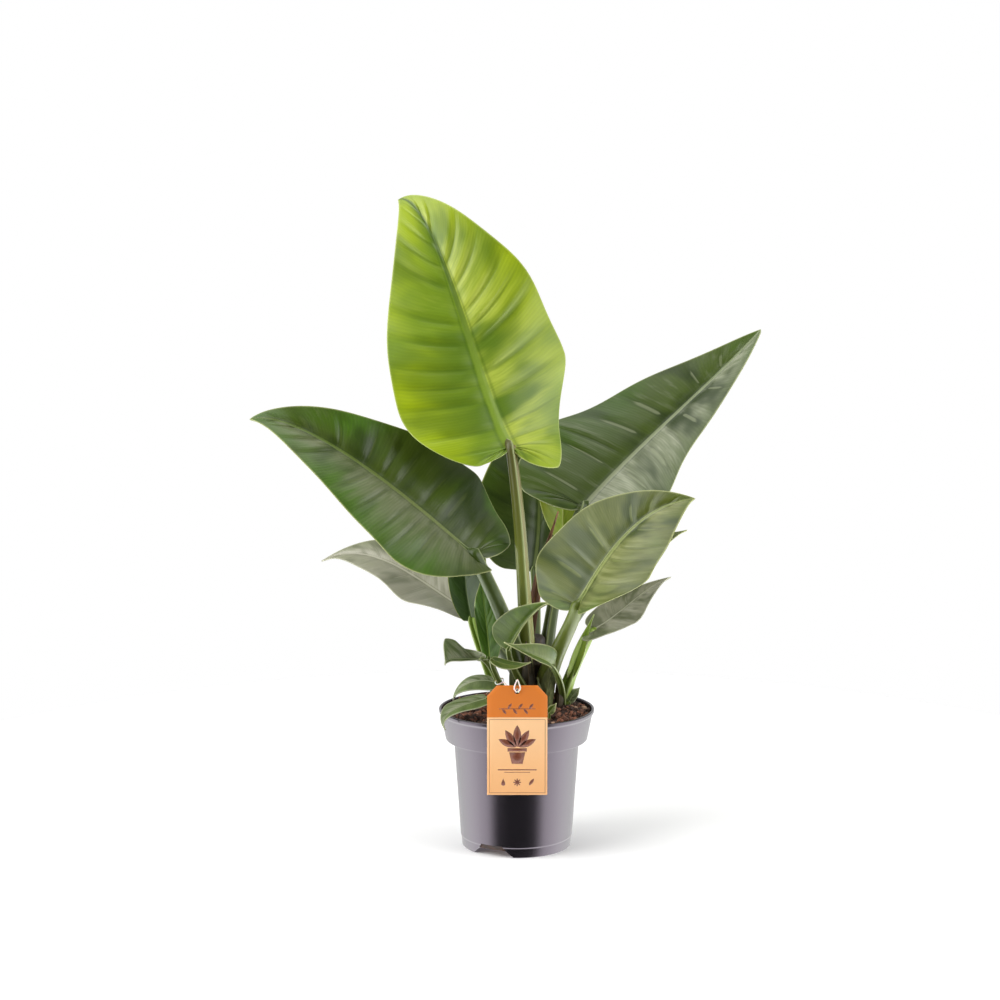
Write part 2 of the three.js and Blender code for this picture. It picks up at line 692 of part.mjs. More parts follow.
function potGeometry() {
  const floorTop = POT_FLOOR_HEIGHT + POT_FLOOR_THICKNESS;
  const skirt = (height) => wallRadius(height, POT_WALL) - POT_STEP;
  const profile = [
    [0, 0],
    [POT_PAD_RADIUS, 0],
    [POT_PAD_RADIUS + 1.5, POT_FLOOR_HEIGHT],
    [skirt(POT_FLOOR_HEIGHT), POT_FLOOR_HEIGHT],
    [skirt(0), 0],
    [wallRadius(0, POT_STEP), 0],
    [wallRadius(POT_STEP_HEIGHT - 1, POT_STEP), POT_STEP_HEIGHT - 1],
    [wallRadius(POT_STEP_HEIGHT, 0), POT_STEP_HEIGHT],
    [wallRadius(POT_NECK_HEIGHT, 0), POT_NECK_HEIGHT],
    [RIM_LOW_RADIUS, POT_NECK_HEIGHT],
    [RIM_LIP_RADIUS, POT_HEIGHT - 3],
    [RIM_LIP_RADIUS, POT_HEIGHT - 0.8],
    [RIM_LIP_RADIUS - 0.8, POT_HEIGHT],
    [RIM_LIP_RADIUS - 2.2, POT_HEIGHT],
    [RIM_TOP_RADIUS - POT_WALL - 0.6, POT_HEIGHT - 3],
    [RIM_LOW_RADIUS - POT_WALL, POT_NECK_HEIGHT + 1.3],
    [wallRadius(POT_NECK_HEIGHT, POT_WALL), POT_NECK_HEIGHT + 1.3],
    [wallRadius(floorTop, POT_WALL + POT_STEP), floorTop],
    [POT_PAD_RADIUS - 0.5, floorTop],
    [POT_PAD_RADIUS - 2, POT_FLOOR_THICKNESS],
    [0, POT_FLOOR_THICKNESS],
  ];
  const points = profile.map(([radius, height]) => new THREE.Vector2(radius, height));
  const shell = new THREE.LatheGeometry(points, POT_SEGMENTS);
  shell.rotateX(Math.PI / 2);
  let body = solid(shell);
  for (let i = 0; i < DRAIN_HOLES; i += 1) {
    const angle = ((i + 0.5) / DRAIN_HOLES) * 2 * Math.PI;
    const hole = new THREE.CylinderGeometry(DRAIN_HOLE_RADIUS, DRAIN_HOLE_RADIUS, 12, 12);
    hole.rotateX(Math.PI / 2);
    hole.translate(DRAIN_HOLE_CIRCLE * Math.cos(angle), DRAIN_HOLE_CIRCLE * Math.sin(angle), 3);
    body = body.subtract(solid(hole));
  }
  for (const angle of NOTCH_ANGLES) {
    body = body.subtract(solid(notchGeometry(angle)));
  }
  return geometryOf(body);
}

// The wedge that cuts a drain notch out of the foot, turned to an angle from the front.
function notchGeometry(angle) {
  const outline = new THREE.Shape();
  outline.moveTo(-NOTCH_BASE_WIDTH / 2, -2);
  outline.lineTo(NOTCH_BASE_WIDTH / 2, -2);
  outline.lineTo(NOTCH_BASE_WIDTH / 2, 0);
  outline.quadraticCurveTo(NOTCH_TOP_WIDTH / 2 + 4, NOTCH_HEIGHT, NOTCH_TOP_WIDTH / 2, NOTCH_HEIGHT);
  outline.lineTo(-NOTCH_TOP_WIDTH / 2, NOTCH_HEIGHT);
  outline.quadraticCurveTo(-NOTCH_TOP_WIDTH / 2 - 4, NOTCH_HEIGHT, -NOTCH_BASE_WIDTH / 2, 0);
  outline.closePath();
  const depth = 26;
  const wedge = new THREE.ExtrudeGeometry(outline, { depth, bevelEnabled: false, curveSegments: 4 });
  wedge.rotateX(Math.PI / 2);
  wedge.translate(0, -POT_FOOT_RADIUS + 18, 0);
  wedge.rotateZ(radians(angle));
  return wedge;
}

// Height of the soil's surface, with smooth lumps from a few seeded waves.
function soilHeight(x, y, lumps) {
  const radius = Math.hypot(x, y);
  const edge = 1 - (radius / RIM_TOP_RADIUS) ** 2;
  let height = SOIL_EDGE_HEIGHT + SOIL_BACK_RISE * (y / RIM_TOP_RADIUS) + SOIL_CROWN * edge;
  for (const lump of lumps) {
    height += SOIL_RELIEF * lump.size * Math.sin(lump.ax * x + lump.ay * y + lump.phase);
  }
  return height;
}

function soilBody() {
  const random = seededRandom(11);
  const lumps = Array.from({ length: 6 }, () => {
    const angle = 2 * Math.PI * random();
    const rate = mix(0.12, 0.4, random());
    return {
      ax: rate * Math.cos(angle),
      ay: rate * Math.sin(angle),
      phase: 6 * random(),
      size: mix(0.3, 0.8, random()),
    };
  });
  const shelf = POT_NECK_HEIGHT + POT_WALL + GAP + 0.1;
  const sideHeights = [
    [wallRadius(SOIL_BOTTOM, POT_WALL + POT_STEP) - GAP, SOIL_BOTTOM],
    [wallRadius(POT_NECK_HEIGHT, POT_WALL) - GAP - 0.1, shelf],
    [RIM_LOW_RADIUS - POT_WALL - GAP - 0.1, shelf],
  ];
  const topRadius = wallRadius(SOIL_EDGE_HEIGHT - 4, POT_WALL + GAP + 0.6);
  const corners = [];
  const at = (radius, sector, height) => {
    const angle = (2 * Math.PI * sector) / SOIL_SECTORS;
    const [x, y] = [radius * Math.cos(angle), radius * Math.sin(angle)];
    return new THREE.Vector3(x, y, height ?? soilHeight(x, y, lumps));
  };
  const bottom = new THREE.Vector3(0, 0, SOIL_BOTTOM);
  const crown = new THREE.Vector3(0, 0, soilHeight(0, 0, lumps));
  const rings = [
    ...sideHeights.map(([radius, height]) => (sector) => at(radius, sector, height)),
    ...Array.from({ length: SOIL_RINGS }, (_, i) => (sector) => at(topRadius * (1 - i / SOIL_RINGS), sector)),
  ];
  for (let sector = 0; sector < SOIL_SECTORS; sector += 1) {
    const next = (sector + 1) % SOIL_SECTORS;
    corners.push(bottom, rings[0](next), rings[0](sector));
    for (let i = 0; i < rings.length - 1; i += 1) {
      const [a, b] = [rings[i](sector), rings[i](next)];
      const [c, d] = [rings[i + 1](next), rings[i + 1](sector)];
      corners.push(a, b, c, a, c, d);
    }
    corners.push(rings[rings.length - 1](sector), rings[rings.length - 1](next), crown);
  }
  return solid(weld(corners));
}

function tagGeometry() {
  const outline = new THREE.Shape();
  const side = TAG_WIDTH / 2;
  outline.moveTo(-side, TAG_BOTTOM);
  outline.lineTo(side, TAG_BOTTOM);
  outline.lineTo(side, TAG_TOP - TAG_CORNER_HEIGHT);
  outline.lineTo(side - TAG_CORNER_WIDTH, TAG_TOP);
  outline.lineTo(-side + TAG_CORNER_WIDTH, TAG_TOP);
  outline.lineTo(-side, TAG_TOP - TAG_CORNER_HEIGHT);
  outline.closePath();
  const hole = new THREE.Path();
  hole.absarc(0, TAG_HOLE_HEIGHT, TAG_HOLE_RADIUS, 0, 2 * Math.PI, true);
  outline.holes.push(hole);
  const plate = new THREE.ExtrudeGeometry(outline, {
    depth: TAG_THICKNESS,
    bevelEnabled: false,
    curveSegments: 10,
  });
  plate.rotateX(Math.PI / 2);
  plate.translate(0, TAG_FRONT_Y + TAG_THICKNESS, 0);
  return plate;
}

// The loop: a drop-shaped eye that passes through the tag's hole and over its top edge, a knot behind the
// tag, and a cord back to a ring round one of the young leaves' stalks.
function tagLoopBody(leaf) {
  const stalk = curveThrough([...leaf.stalk.route, leaf.midrib[0]]);
  const held = stalk.getPointAt(0.62);
  const along = stalk.getTangentAt(0.62);
  const behind = TAG_FRONT_Y + TAG_THICKNESS + 2.4;
  const front = TAG_FRONT_Y - LOOP_RADIUS - 0.5;
  const knot = new THREE.Vector3(0, behind, TAG_HOLE_HEIGHT + 0.4);
  const eye = new THREE.CatmullRomCurve3(
    [
      [-0.9, behind, TAG_HOLE_HEIGHT],
      [-1, TAG_FRONT_Y + 0.4, TAG_HOLE_HEIGHT - 0.2],
      [-1.2, front, TAG_HOLE_HEIGHT],
      [-2.8, front - 0.2, TAG_HOLE_HEIGHT + 3.2],
      [-1.8, front, TAG_TOP + 1.6],
      [0, front + 0.4, TAG_TOP + 5.4],
      [1.8, front, TAG_TOP + 1.6],
      [2.8, front - 0.2, TAG_HOLE_HEIGHT + 3.2],
      [1.2, front, TAG_HOLE_HEIGHT],
      [1, TAG_FRONT_Y + 0.4, TAG_HOLE_HEIGHT - 0.2],
      [0.9, behind, TAG_HOLE_HEIGHT],
    ].map(vector),
  );
  const toStalk = new THREE.CubicBezierCurve3(
    knot,
    new THREE.Vector3(-2, behind + 14, TAG_HOLE_HEIGHT - 3),
    new THREE.Vector3(held.x + 10, held.y - 22, held.z - 2),
    held.clone().add(new THREE.Vector3(3.6, -2.2, 0)),
  );
  const ring = new THREE.TorusGeometry(4.2, LOOP_RADIUS, 5, 14);
  ring.lookAt(along);
  ring.translate(held.x, held.y, held.z);
  const ball = new THREE.SphereGeometry(1.9, 7, 5);
  ball.translate(knot.x, knot.y, knot.z);
  return solid(tubeGeometry(eye, LOOP_RADIUS, 26))
    .add(solid(ball))
    .add(solid(tubeGeometry(toStalk, LOOP_RADIUS, 9)))
    .add(solid(ring));
}

const plant = new THREE.Group();
const add = (name, geometry, material) => plant.add(named(name, geometry, material));

const stem = solid(stemGeometry(STEM));
const sideStem = solid(stemGeometry(SIDE_STEM));
const stemTools = [solid(stemGeometry(STEM, CUT_GAP)), solid(stemGeometry(SIDE_STEM, CUT_GAP))];

// Stalks are cut where they meet the stems, their own blade and the stalks in front of them.
const taken = [...stemTools];
const soilTools = [...stemTools];

add("pot", potGeometry(), shiny(0x242326, 0.35));
add("stem", geometryOf(stem), shiny(0x2b1c14, 0.85));
add("side_stem", geometryOf(sideStem), shiny(0x33241a, 0.85));

for (const leaf of LEAVES) {
  const ownBlade = solid(bladeGeometry(leaf, CUT_GAP));
  let whole = solid(stalkGeometry(leaf));
  let grown = solid(stalkGeometry(leaf, CUT_GAP));
  if (leaf.wing) {
    whole = whole.add(solid(bladeGeometry(leaf.wing)));
    grown = grown.add(solid(bladeGeometry(leaf.wing, CUT_GAP)));
  }
  const stalk = carve(whole, [ownBlade, ...taken]);
  add(`blade_${leaf.name}`, bladeGeometry(leaf), shiny(leaf.colors.blade, 0.4, { side: THREE.DoubleSide }));
  add(`stalk_${leaf.name}`, geometryOf(stalk), shiny(leaf.colors.stalk, 0.5));
  taken.push(grown);
  soilTools.push(grown);
}

YOUNG_LEAVES.forEach((leaf, i) => {
  const detailed = { rows: 6, columns: 2, ...leaf };
  const youngStalk = (grown) => solid(stalkGeometry(detailed, grown, 3, YOUNG_SECTION));
  const whole = youngStalk(0).add(solid(bladeGeometry(detailed)));
  const grown = youngStalk(CUT_GAP).add(solid(bladeGeometry(detailed, CUT_GAP)));
  add(`young_leaf_${i + 1}`, geometryOf(carve(whole, taken)), shiny(0x5c7a34, 0.45));
  taken.push(grown);
  soilTools.push(grown);
});

add("dry_sheath", geometryOf(carve(solid(bladeGeometry(SHEATH)), taken)), shiny(0x4a3020, 0.8));
add("soil", geometryOf(carve(soilBody(), soilTools)), shiny(0x2a1712, 0.95));
add("tag", tagGeometry(), shiny(0xf2c18c, 0.45));
add(
  "tag_loop",
  geometryOf(tagLoopBody(YOUNG_LEAVES[1])),
  shiny(0xe4ecef, 0.2, { transparent: true, opacity: 0.5 }),
);

export default plant;
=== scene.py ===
"""Dresses a potted green philodendron for a studio picture.

Lengths in the tables are millimetres and angles degrees; meshes are made in metres, +Z up, with the pot's
middle over the origin and the plant's front towards -Y. Every surface is a grid of points from a formula.
"""

import bmesh
import bpy
import numpy as np
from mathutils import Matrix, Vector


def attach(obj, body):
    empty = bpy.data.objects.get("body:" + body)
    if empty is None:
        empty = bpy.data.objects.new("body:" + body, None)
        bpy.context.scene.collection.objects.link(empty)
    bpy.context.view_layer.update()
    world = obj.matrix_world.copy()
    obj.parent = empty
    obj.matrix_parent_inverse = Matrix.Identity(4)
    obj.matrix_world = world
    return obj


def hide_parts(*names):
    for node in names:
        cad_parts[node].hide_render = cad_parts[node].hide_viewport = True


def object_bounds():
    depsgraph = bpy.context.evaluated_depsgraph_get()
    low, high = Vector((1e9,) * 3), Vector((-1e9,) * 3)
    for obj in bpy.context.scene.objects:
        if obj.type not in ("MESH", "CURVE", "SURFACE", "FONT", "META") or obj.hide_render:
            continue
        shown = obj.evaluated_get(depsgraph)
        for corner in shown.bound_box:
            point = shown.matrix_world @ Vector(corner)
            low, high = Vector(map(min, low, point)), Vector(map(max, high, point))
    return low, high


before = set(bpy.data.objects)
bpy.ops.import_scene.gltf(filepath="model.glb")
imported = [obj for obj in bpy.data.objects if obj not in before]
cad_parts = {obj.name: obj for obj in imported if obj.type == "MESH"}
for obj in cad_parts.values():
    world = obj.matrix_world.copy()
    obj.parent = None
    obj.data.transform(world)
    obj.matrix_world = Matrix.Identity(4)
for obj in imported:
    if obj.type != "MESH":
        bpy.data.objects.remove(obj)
cad_lowest, cad_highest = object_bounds()

MM = 0.001

# Camera and studio
CAMERA_PLACE = (-16, -1890, 575)
CAMERA_DOWN = 7.2
CAMERA_LENS = 71.8
CAMERA_SENSOR = 36
FLOOR_RADIUS = 800
FLOOR_DROP = 0.2
TENT_DARK = 0.03
TENT_BRIGHT = 0.85
TENT_SHINE = 6

# Softboxes, with their lengths in metres and their power in watts
LIGHT_TARGET = (0, 0, 0.3)
SOFTBOXES = [
    dict(name="left_box", place=(-1.1, -0.5, 0.95), size=(1.2, 1.5), power=27),
    dict(name="right_box", place=(1.15, -0.45, 0.75), size=(1.1, 1.4), power=19),
    dict(name="top_box", place=(-0.3, 0.1, 1.9), size=(1.2, 1.2), power=10),
]

# Blades: the shares of the rows that end at the lobe's corner, at the widest place and at the fan of veins
LOBE_ROWS = 0.14
WIDE_ROWS = 0.42
FAN_ROWS = 0.26

# Side veins: the last one's root as a share of the midrib, and how a vein leaves it
LAST_ROOT = 0.985
VEIN_LEAN = 0.3
VEIN_REACH = 0.55

# Blades: thickness, and the midrib's ridge, trough and keel at a half's full reach
BLADE_EDGE = 0.7
BLADE_RIB = 1.4
RIB_SPREAD = 0.07
RIB_RIDGE = 0.8
RIB_TROUGH = 1.1
RIB_KEEL = 1.1
RIB_WIDTH = 1.6
EDGE_INSET = 0.3
EDGE_LINE = 0.9
FULL_REACH = 60

# Blades: pleats, and how steeply the fine form fades at the tip
VEINS = 12
PLEAT = 0.55
VALLEY_WIDTH = 0.15
TIP_FADE = 7

# Blades: how far the grid's lines draw together at its ends
ROW_CROWDING = 0.05
COLUMN_CROWDING = 0.12

# Rows and columns of the blades' grids
LARGE_SPREAD = 90
LARGE_GRID = (200, 40)
MIDDLE_GRID = (120, 26)
YOUNG_GRID = (80, 18)
SHEATH_GRID = (80, 10)
SCALE_GRID = (60, 12)

# Stalks and stems: depths and heights as shares of the radius, widths in degrees
CHANNEL_DEPTH = 0.48
CHANNEL_WIDTH = 26
WING_HEIGHT = 0.15
WING_WIDTH = 15
WING_ANGLE = 47
YOUNG_CHANNEL_DEPTH = 0.25
YOUNG_WING_HEIGHT = 0.06
FOOT_SWELL = 0.25
RING_LIFT = 0.9
DOME_START = 0.94

# Pot
POT_WALL = 1.3
POT_FOOT_RADIUS = 53.5
POT_STEP_HEIGHT = 10
POT_STEP = 0.6
POT_NECK_RADIUS = 60.6
POT_NECK_HEIGHT = 104
RIM_LOW_RADIUS = 68.4
RIM_TOP_RADIUS = 74
RIM_LIP_RADIUS = 75
POT_HEIGHT = 134
POT_FLOOR_HEIGHT = 4
POT_PAD_RADIUS = 14
DRAIN_HOLES = 8
DRAIN_HOLE_RADIUS = 4
DRAIN_HOLE_CIRCLE = 34
DRAIN_CUT_HEIGHTS = (-2, 9)
NOTCH_HEIGHT = 11
NOTCH_BASE_WIDTH = 43
NOTCH_TOP_WIDTH = 22
NOTCH_ANGLES = (-27, 153)
NOTCH_CUT_START = 8
NOTCH_CUT_DEPTH = 26

# Soil
SOIL_EDGE_HEIGHT = 129
SOIL_CROWN = 7
SOIL_BACK_RISE = 4
SOIL_RADIUS = 71.6
SOIL_LUMPS = 6
SOIL_LUMP_HEIGHT = 1.1
CRUMBS = 3400

# Tag
TAG_WIDTH = 56
TAG_BOTTOM = 69
TAG_TOP = 173
TAG_CORNER_WIDTH = 9
TAG_CORNER_HEIGHT = 10
TAG_THICKNESS = 0.8
TAG_FRONT_Y = -79
TAG_HOLE_RADIUS = 2.6
TAG_HOLE_HEIGHT = 167.5
TAG_BAND_HEIGHT = 142.8
PRINT_THICKNESS = 0.06
FRAME_MARGIN = 2
FRAME_LINE = 0.4
LOOP_RADIUS = 0.65
LOOP_RING_RADIUS = 4.2
LOOP_KNOT_RADIUS = 1.25
LOOP_STALK_SHARE = 0.62


def half(reach, lobe, widest, **shape):
    """The half of a blade on one side of its midrib, with its plain values unless shape gives others."""
    plain = dict(
        lobe_reach=0.45, shoulder=0.5, roundness=0.6, taper=0.35, point=0.25, fold=(12, 10), curl=(-10, -10),
        ripple=(0.015, 3, 0.2),
    )
    return {"reach": reach, "lobe": lobe, "widest": widest, **plain, **shape}


LEAVES = [
    dict(
        name="tall",
        midrib=[(-6, -2, 388), (-35, 19, 430), (-79, 61, 636), (-116, 85, 622)],
        face=[(9, 18), (-10, 22)],
        left=half(88, 9, 0.27, lobe_reach=0.41, shoulder=0.23, roundness=0.55, taper=0.44, point=0.04,
                  fold=(9, 0), curl=(-9, -11), ripple=(0.012, 4.5, 0.63)),
        right=half(89, 34, 0.25, lobe_reach=0.37, shoulder=0.15, roundness=0.25, taper=0.45, point=0.04,
                   fold=(-13, 21), curl=(-23, -5), ripple=(0.02, 4.5, 0.51)),
        wave=(2.6, 5),
        stalk=dict(route=[(12, 14, 164), (7, 0, 230), (6, -2, 308)], radii=(7.2, 5.2), groove=70),
        veins=16, pleat=0.8, rib=3.6,
        slot="blade_lime", stalk_look="olive",
    ),
    dict(
        name="left",
        midrib=[(-41, -20, 287), (-50, -19, 293), (-195, -10, 430), (-255, 8, 413)],
        face=[(-14, 61), (-10, 41)],
        left=half(70, 23, 0.23, lobe_reach=0.03, shoulder=0.05, roundness=0.8, taper=0.29, point=0.055,
                  fold=(25, 11), curl=(-42, -20), ripple=(0.02, 3, 0)),
        right=half(78, 24, 0.16, lobe_reach=0.5, shoulder=0.15, roundness=0.35, taper=0.2, point=0.02,
                   fold=(8, 19), curl=(-16, -8), ripple=(0.02, 3.5, 0.39)),
        wave=(2.6, 5),
        stalk=dict(route=[(4, 14, 162), (-5, -6, 213), (-24, -22, 253)], radii=(8.5, 6.5), groove=120),
        veins=14, pleat=0.6, rib=1.3,
        slot="blade_dark", stalk_look="deep",
    ),
    dict(
        name="right",
        midrib=[(66, 48, 324), (121, 94, 380), (201, 129, 441), (253, 172, 492)],
        face=[(-6, 36), (-4, 39)],
        left=half(90, 25, 0.15, lobe_reach=0.62, shoulder=0.61, roundness=0.5, taper=0.05, point=0.05,
                  fold=(4, 5), curl=(-16, -17), ripple=(0.03, 4.5, 0.97)),
        right=half(75, 10, 0.12, lobe_reach=0.48, shoulder=0.46, roundness=0.51, taper=0.05, point=0.02,
                   fold=(31, 24), curl=(-13, 6), ripple=(0.025, 3, 0.78)),
        wave=(2.6, 5),
        stalk=dict(route=[(28, 26, 166), (32, 30, 214), (45, 40, 287)], radii=(6.2, 5.2), groove=-60),
        veins=11, pleat=0.45, rib=1.3,
        slot="blade_dark", stalk_look="deep",
    ),
    dict(
        name="front",
        midrib=[(56, -52, 243), (83, -74, 297), (109, -95, 344), (160, -105, 351)],
        face=[(0, 45), (6, 43)],
        left=half(58, 22, 0.1, lobe_reach=0.58, shoulder=0.46, roundness=0.55, taper=0.4, point=0.03,
                  fold=(28, 9), curl=(0, -11), ripple=(0.012, 4.5, 0.5)),
        right=half(53, 0, 0.54, lobe_reach=0.2, shoulder=0.15, roundness=0.31, taper=0.36, point=0.16,
                   fold=(24, 3), curl=(-17, -15), ripple=(0.02, 2.5, 0.31)),
        wave=(1.9, 4),
        stalk=dict(route=[(28, 12, 158), (38, -16, 196), (50, -42, 218)], radii=(8.5, 6), groove=150),
        veins=9, pleat=0.5, rib=2.2,
        slot="blade_green", stalk_look="fresh",
    ),
    dict(
        name="back",
        midrib=[(19, 118, 248), (28, 141, 295), (27, 150, 364), (14, 172, 425)],
        face=[(-1, 15), (0, 22)],
        left=half(67, 0, 0.38, fold=(25, 10)),
        right=half(29, 0, 0.57, fold=(18, 10)),
        wave=(1.7, 4),
        stalk=dict(route=[(17, 32, 170), (19, 70, 191), (22, 108, 210)], radii=(6, 4.6), groove=0),
        veins=12, pleat=0.4,
        slot="blade_dark", stalk_look="deep",
    ),
    dict(
        name="lime",
        midrib=[(47, 78, 284), (46, 93, 308), (52, 104, 340), (36, 118, 400)],
        face=[(14, 18), (-1, 22)],
        left=half(31, 0, 0.48, fold=(50, 9)),
        right=half(17, 0, 0.5, fold=(13, 10)),
        wave=(1.1, 3),
        stalk=dict(route=[(24, 32, 168), (31, 52, 208), (44, 72, 237)], radii=(5.5, 4), groove=0),
        veins=9,
        slot="blade_lime", stalk_look="bright",
    ),
    dict(
        name="low_left",
        midrib=[(-44, 58, 215), (-97, 77, 244), (-144, 91, 290), (-197, 105, 261)],
        face=[(-20, 66), (-20, 53)],
        left=half(49, 6, 0.28, fold=(34, 5), ripple=(0.06, 3, 0.78)),
        right=half(39, 0, 0.34, fold=(10, 14)),
        wave=(1.7, 4),
        stalk=dict(route=[(4, 27, 158), (-14, 46, 179), (-26, 60, 193)], radii=(6, 4.6), groove=60),
        veins=10, pleat=0.5,
        slot="blade_grey", stalk_look="deep",
    ),
    dict(
        name="low_right",
        midrib=[(73, 20, 206), (101, 36, 216), (128, 49, 247), (153, 55, 253)],
        face=[(8, 61), (9, 60)],
        left=half(19, 1, 0.27, fold=(20, 3)),
        right=half(30, 19, 0.29, fold=(30, 13), ripple=(0.05, 2, 0.18)),
        wave=(1.1, 3),
        stalk=dict(route=[(44, 24, 126), (52, 18, 169), (66, 16, 187)], radii=(6.5, 4.5), groove=-40),
        wing=dict(
            midrib=[(52, 16, 160), (59, 11, 182), (66, 9, 203), (75, 8, 224)],
            face=[(0, 10), (0, 10)],
            left=half(6, 0, 0.35, fold=(35, 25)),
            right=half(6, 0, 0.35, fold=(35, 25)),
            wave=(0, 0),
        ),
        veins=8, pleat=0.45,
        slot="blade_grey", stalk_look="bright",
    ),
    dict(
        name="low_back",
        midrib=[(85, 55, 245), (113, 78, 270), (147, 101, 284), (175, 125, 290)],
        face=[(9, 57), (10, 60)],
        left=half(17, 0, 0.36, fold=(11, 10)),
        right=half(16, 4, 0.35, fold=(15, 10)),
        wave=(0.9, 3),
        stalk=dict(route=[(29, 28, 164), (45, 42, 197), (69, 50, 225)], radii=(5, 3.6), groove=-60),
        veins=8,
        slot="blade_dark", stalk_look="deep",
    ),
    dict(
        name="shade",
        midrib=[(-43, 20, 215), (-49, 33, 237), (-55, 37, 269), (-45, 46, 312)],
        face=[(-16, 17), (1, 20)],
        left=half(17, 0, 0.45, fold=(15, 10)),
        right=half(22, 0, 0.56, fold=(30, 8)),
        wave=(0.9, 3),
        stalk=dict(route=[(-13, 17, 126), (-28, 18, 173), (-37, 20, 191)], radii=(6, 4.4), groove=0),
        veins=7,
        slot="blade_dark", stalk_look="bright",
    ),
    dict(
        name="upright",
        midrib=[(-26, 4, 180), (-27, 10, 203), (-32, 13, 230), (-34, 16, 261)],
        face=[(-7, 15), (0, 18)],
        left=half(10, 0, 0.6, fold=(12, 9)),
        right=half(15, 0, 0.6, fold=(15, 8)),
        wave=(1.1, 4),
        stalk=dict(route=[(-9, 10, 126), (-17, 6, 158), (-22, 3, 168)], radii=(4.6, 3.2), groove=0),
        veins=7,
        slot="blade_green", stalk_look="fresh",
    ),
]

YOUNG_LEAVES = [
    dict(
        midrib=[(-33, -18, 186), (-56, -4, 183), (-66, -33, 190), (-67, -60, 189)],
        face=[(-5, 59), (-29, 29)],
        left=half(5, 5, 0.34),
        right=half(23, 11, 0.43, fold=(32, 44)),
        stalk=dict(route=[(-11, 3, 126), (-16, -8, 161), (-23, -16, 178)], radii=(3.4, 2.4)),
        look="pale",
    ),
    dict(
        midrib=[(-24, -32, 188), (-13, -35, 184), (0, -38, 180), (13, -42, 188)],
        face=[(0, 62), (0, 58)],
        left=half(6, 0, 0.38),
        right=half(8, 0, 0.39),
        stalk=dict(route=[(-2, -2, 126), (-10, -16, 158), (-24, -26, 172)], radii=(3.2, 2.2)),
        look="young",
    ),
    dict(
        midrib=[(-8, -30, 197), (-1, -31, 214), (20, -28, 245), (34, -22, 240)],
        face=[(-21, 20), (-20, 40)],
        left=half(26, 3, 0.14, fold=(8, 9)),
        right=half(7, 0, 0.33, fold=(60, 60)),
        stalk=dict(route=[(7, 1, 152), (-1, -14, 172), (-7, -27, 183)], radii=(4, 2.8)),
        look="young",
    ),
    dict(
        midrib=[(33, -30, 181), (35, -42, 189), (4, -56, 200), (-12, -62, 211)],
        face=[(0, 40), (0, 50)],
        left=half(5, 0, 0.35),
        right=half(15, 9, 0.21, fold=(28, 10)),
        stalk=dict(route=[(44, 22, 124), (46, 4, 152), (41, -16, 167)], radii=(4.2, 2.6)),
        look="young",
    ),
    dict(
        midrib=[(-20, -8, 160), (-38, -4, 167), (-62, -6, 155), (-62, 6, 138)],
        face=[(0, 51), (-39, 38)],
        left=half(13, 0, 0.18),
        right=half(7, 0, 0.4),
        stalk=dict(route=[(-14, 9, 124), (-13, 3, 141), (-16, -4, 152)], radii=(3, 2.2)),
        look="pale",
    ),
    dict(
        midrib=[(-28, -25, 149), (-45, -37, 147), (-78, -48, 141), (-68, -52, 124)],
        face=[(-2, 53), (-31, 50)],
        left=half(11, 0, 0.3),
        right=half(10, 0, 0.6),
        stalk=dict(route=[(-10, -6, 122), (-12, -11, 138), (-18, -19, 146)], radii=(3, 2.2)),
        look="pale",
    ),
    dict(
        midrib=[(52, 14, 136), (53, 15, 142), (59, 16, 146), (62, 18, 150)],
        face=[(-1, 41), (0, 40)],
        left=half(7, 0, 0.41),
        right=half(5, 0, 0.42),
        stalk=dict(route=[(49, 13, 124), (50, 13, 129), (51, 14, 133)], radii=(2, 1.5)),
        look="pale",
    ),
    dict(
        midrib=[(31, -34, 136), (32, -35, 139), (35, -37, 143), (37, -38, 147)],
        face=[(0, 35), (0, 40)],
        left=half(4, 0, 0.4),
        right=half(4, 0, 0.4),
        stalk=dict(route=[(29, -32, 122), (30, -33, 127), (31, -34, 132)], radii=(1.6, 1.3)),
        look="young",
    ),
]

SHEATH = dict(
    midrib=[(14, 22, 194), (14, 24, 235), (30, 22, 290), (40, 20, 323)],
    face=[(0, 10), (-20, 10)],
    left=half(6, 0, 0.3, fold=(45, 35)),
    right=half(6, 0, 0.3, fold=(45, 35)),
    wave=(0, 0),
)

# Husks: short dry scales that wrap the feet of the stalks at the front of the stem
HUSKS = [
    dict(midrib=[(12, -2, 127), (12, -4, 150), (12, -4, 172), (9, -5, 200)], reach=11),
    dict(midrib=[(28, -1, 127), (27, -5, 150), (32, -13, 170), (38, -22, 190)], reach=11),
    dict(midrib=[(40, 5, 125), (42, 1, 142), (42, -1, 156), (39, -3, 170)], reach=7),
    dict(midrib=[(-2, 0, 127), (0, -3, 148), (-2, -6, 168), (-7, -11, 188)], reach=9),
    dict(midrib=[(-9, 3, 124), (-11, 0, 136), (-12, -1, 146), (-15, -3, 158)], reach=6),
    dict(midrib=[(20, -5, 125), (21, -10, 140), (23, -12, 152), (20, -13, 166)], reach=8),
]

STEM = dict(foot=(18, 19, 112), top=(16, 22, 202), radii=(16.5, 11), rings=6)
SIDE_STEM = dict(foot=(-5, 8, 118), top=(-6, 7, 148), radii=(9, 7), rings=3)


# Curves and directions

def cubic(points, t):
    """Cubic Bezier curve: the four points weighted by (1-t)^3, 3t(1-t)^2, 3t^2(1-t) and t^3."""
    a, b, c, d = (np.asarray(p, float) for p in points)
    t = np.asarray(t, float)
    t = t.reshape(t.shape + (1,) * a.ndim)
    s = 1 - t
    return s**3 * a + 3 * s * s * t * b + 3 * s * t * t * c + t**3 * d


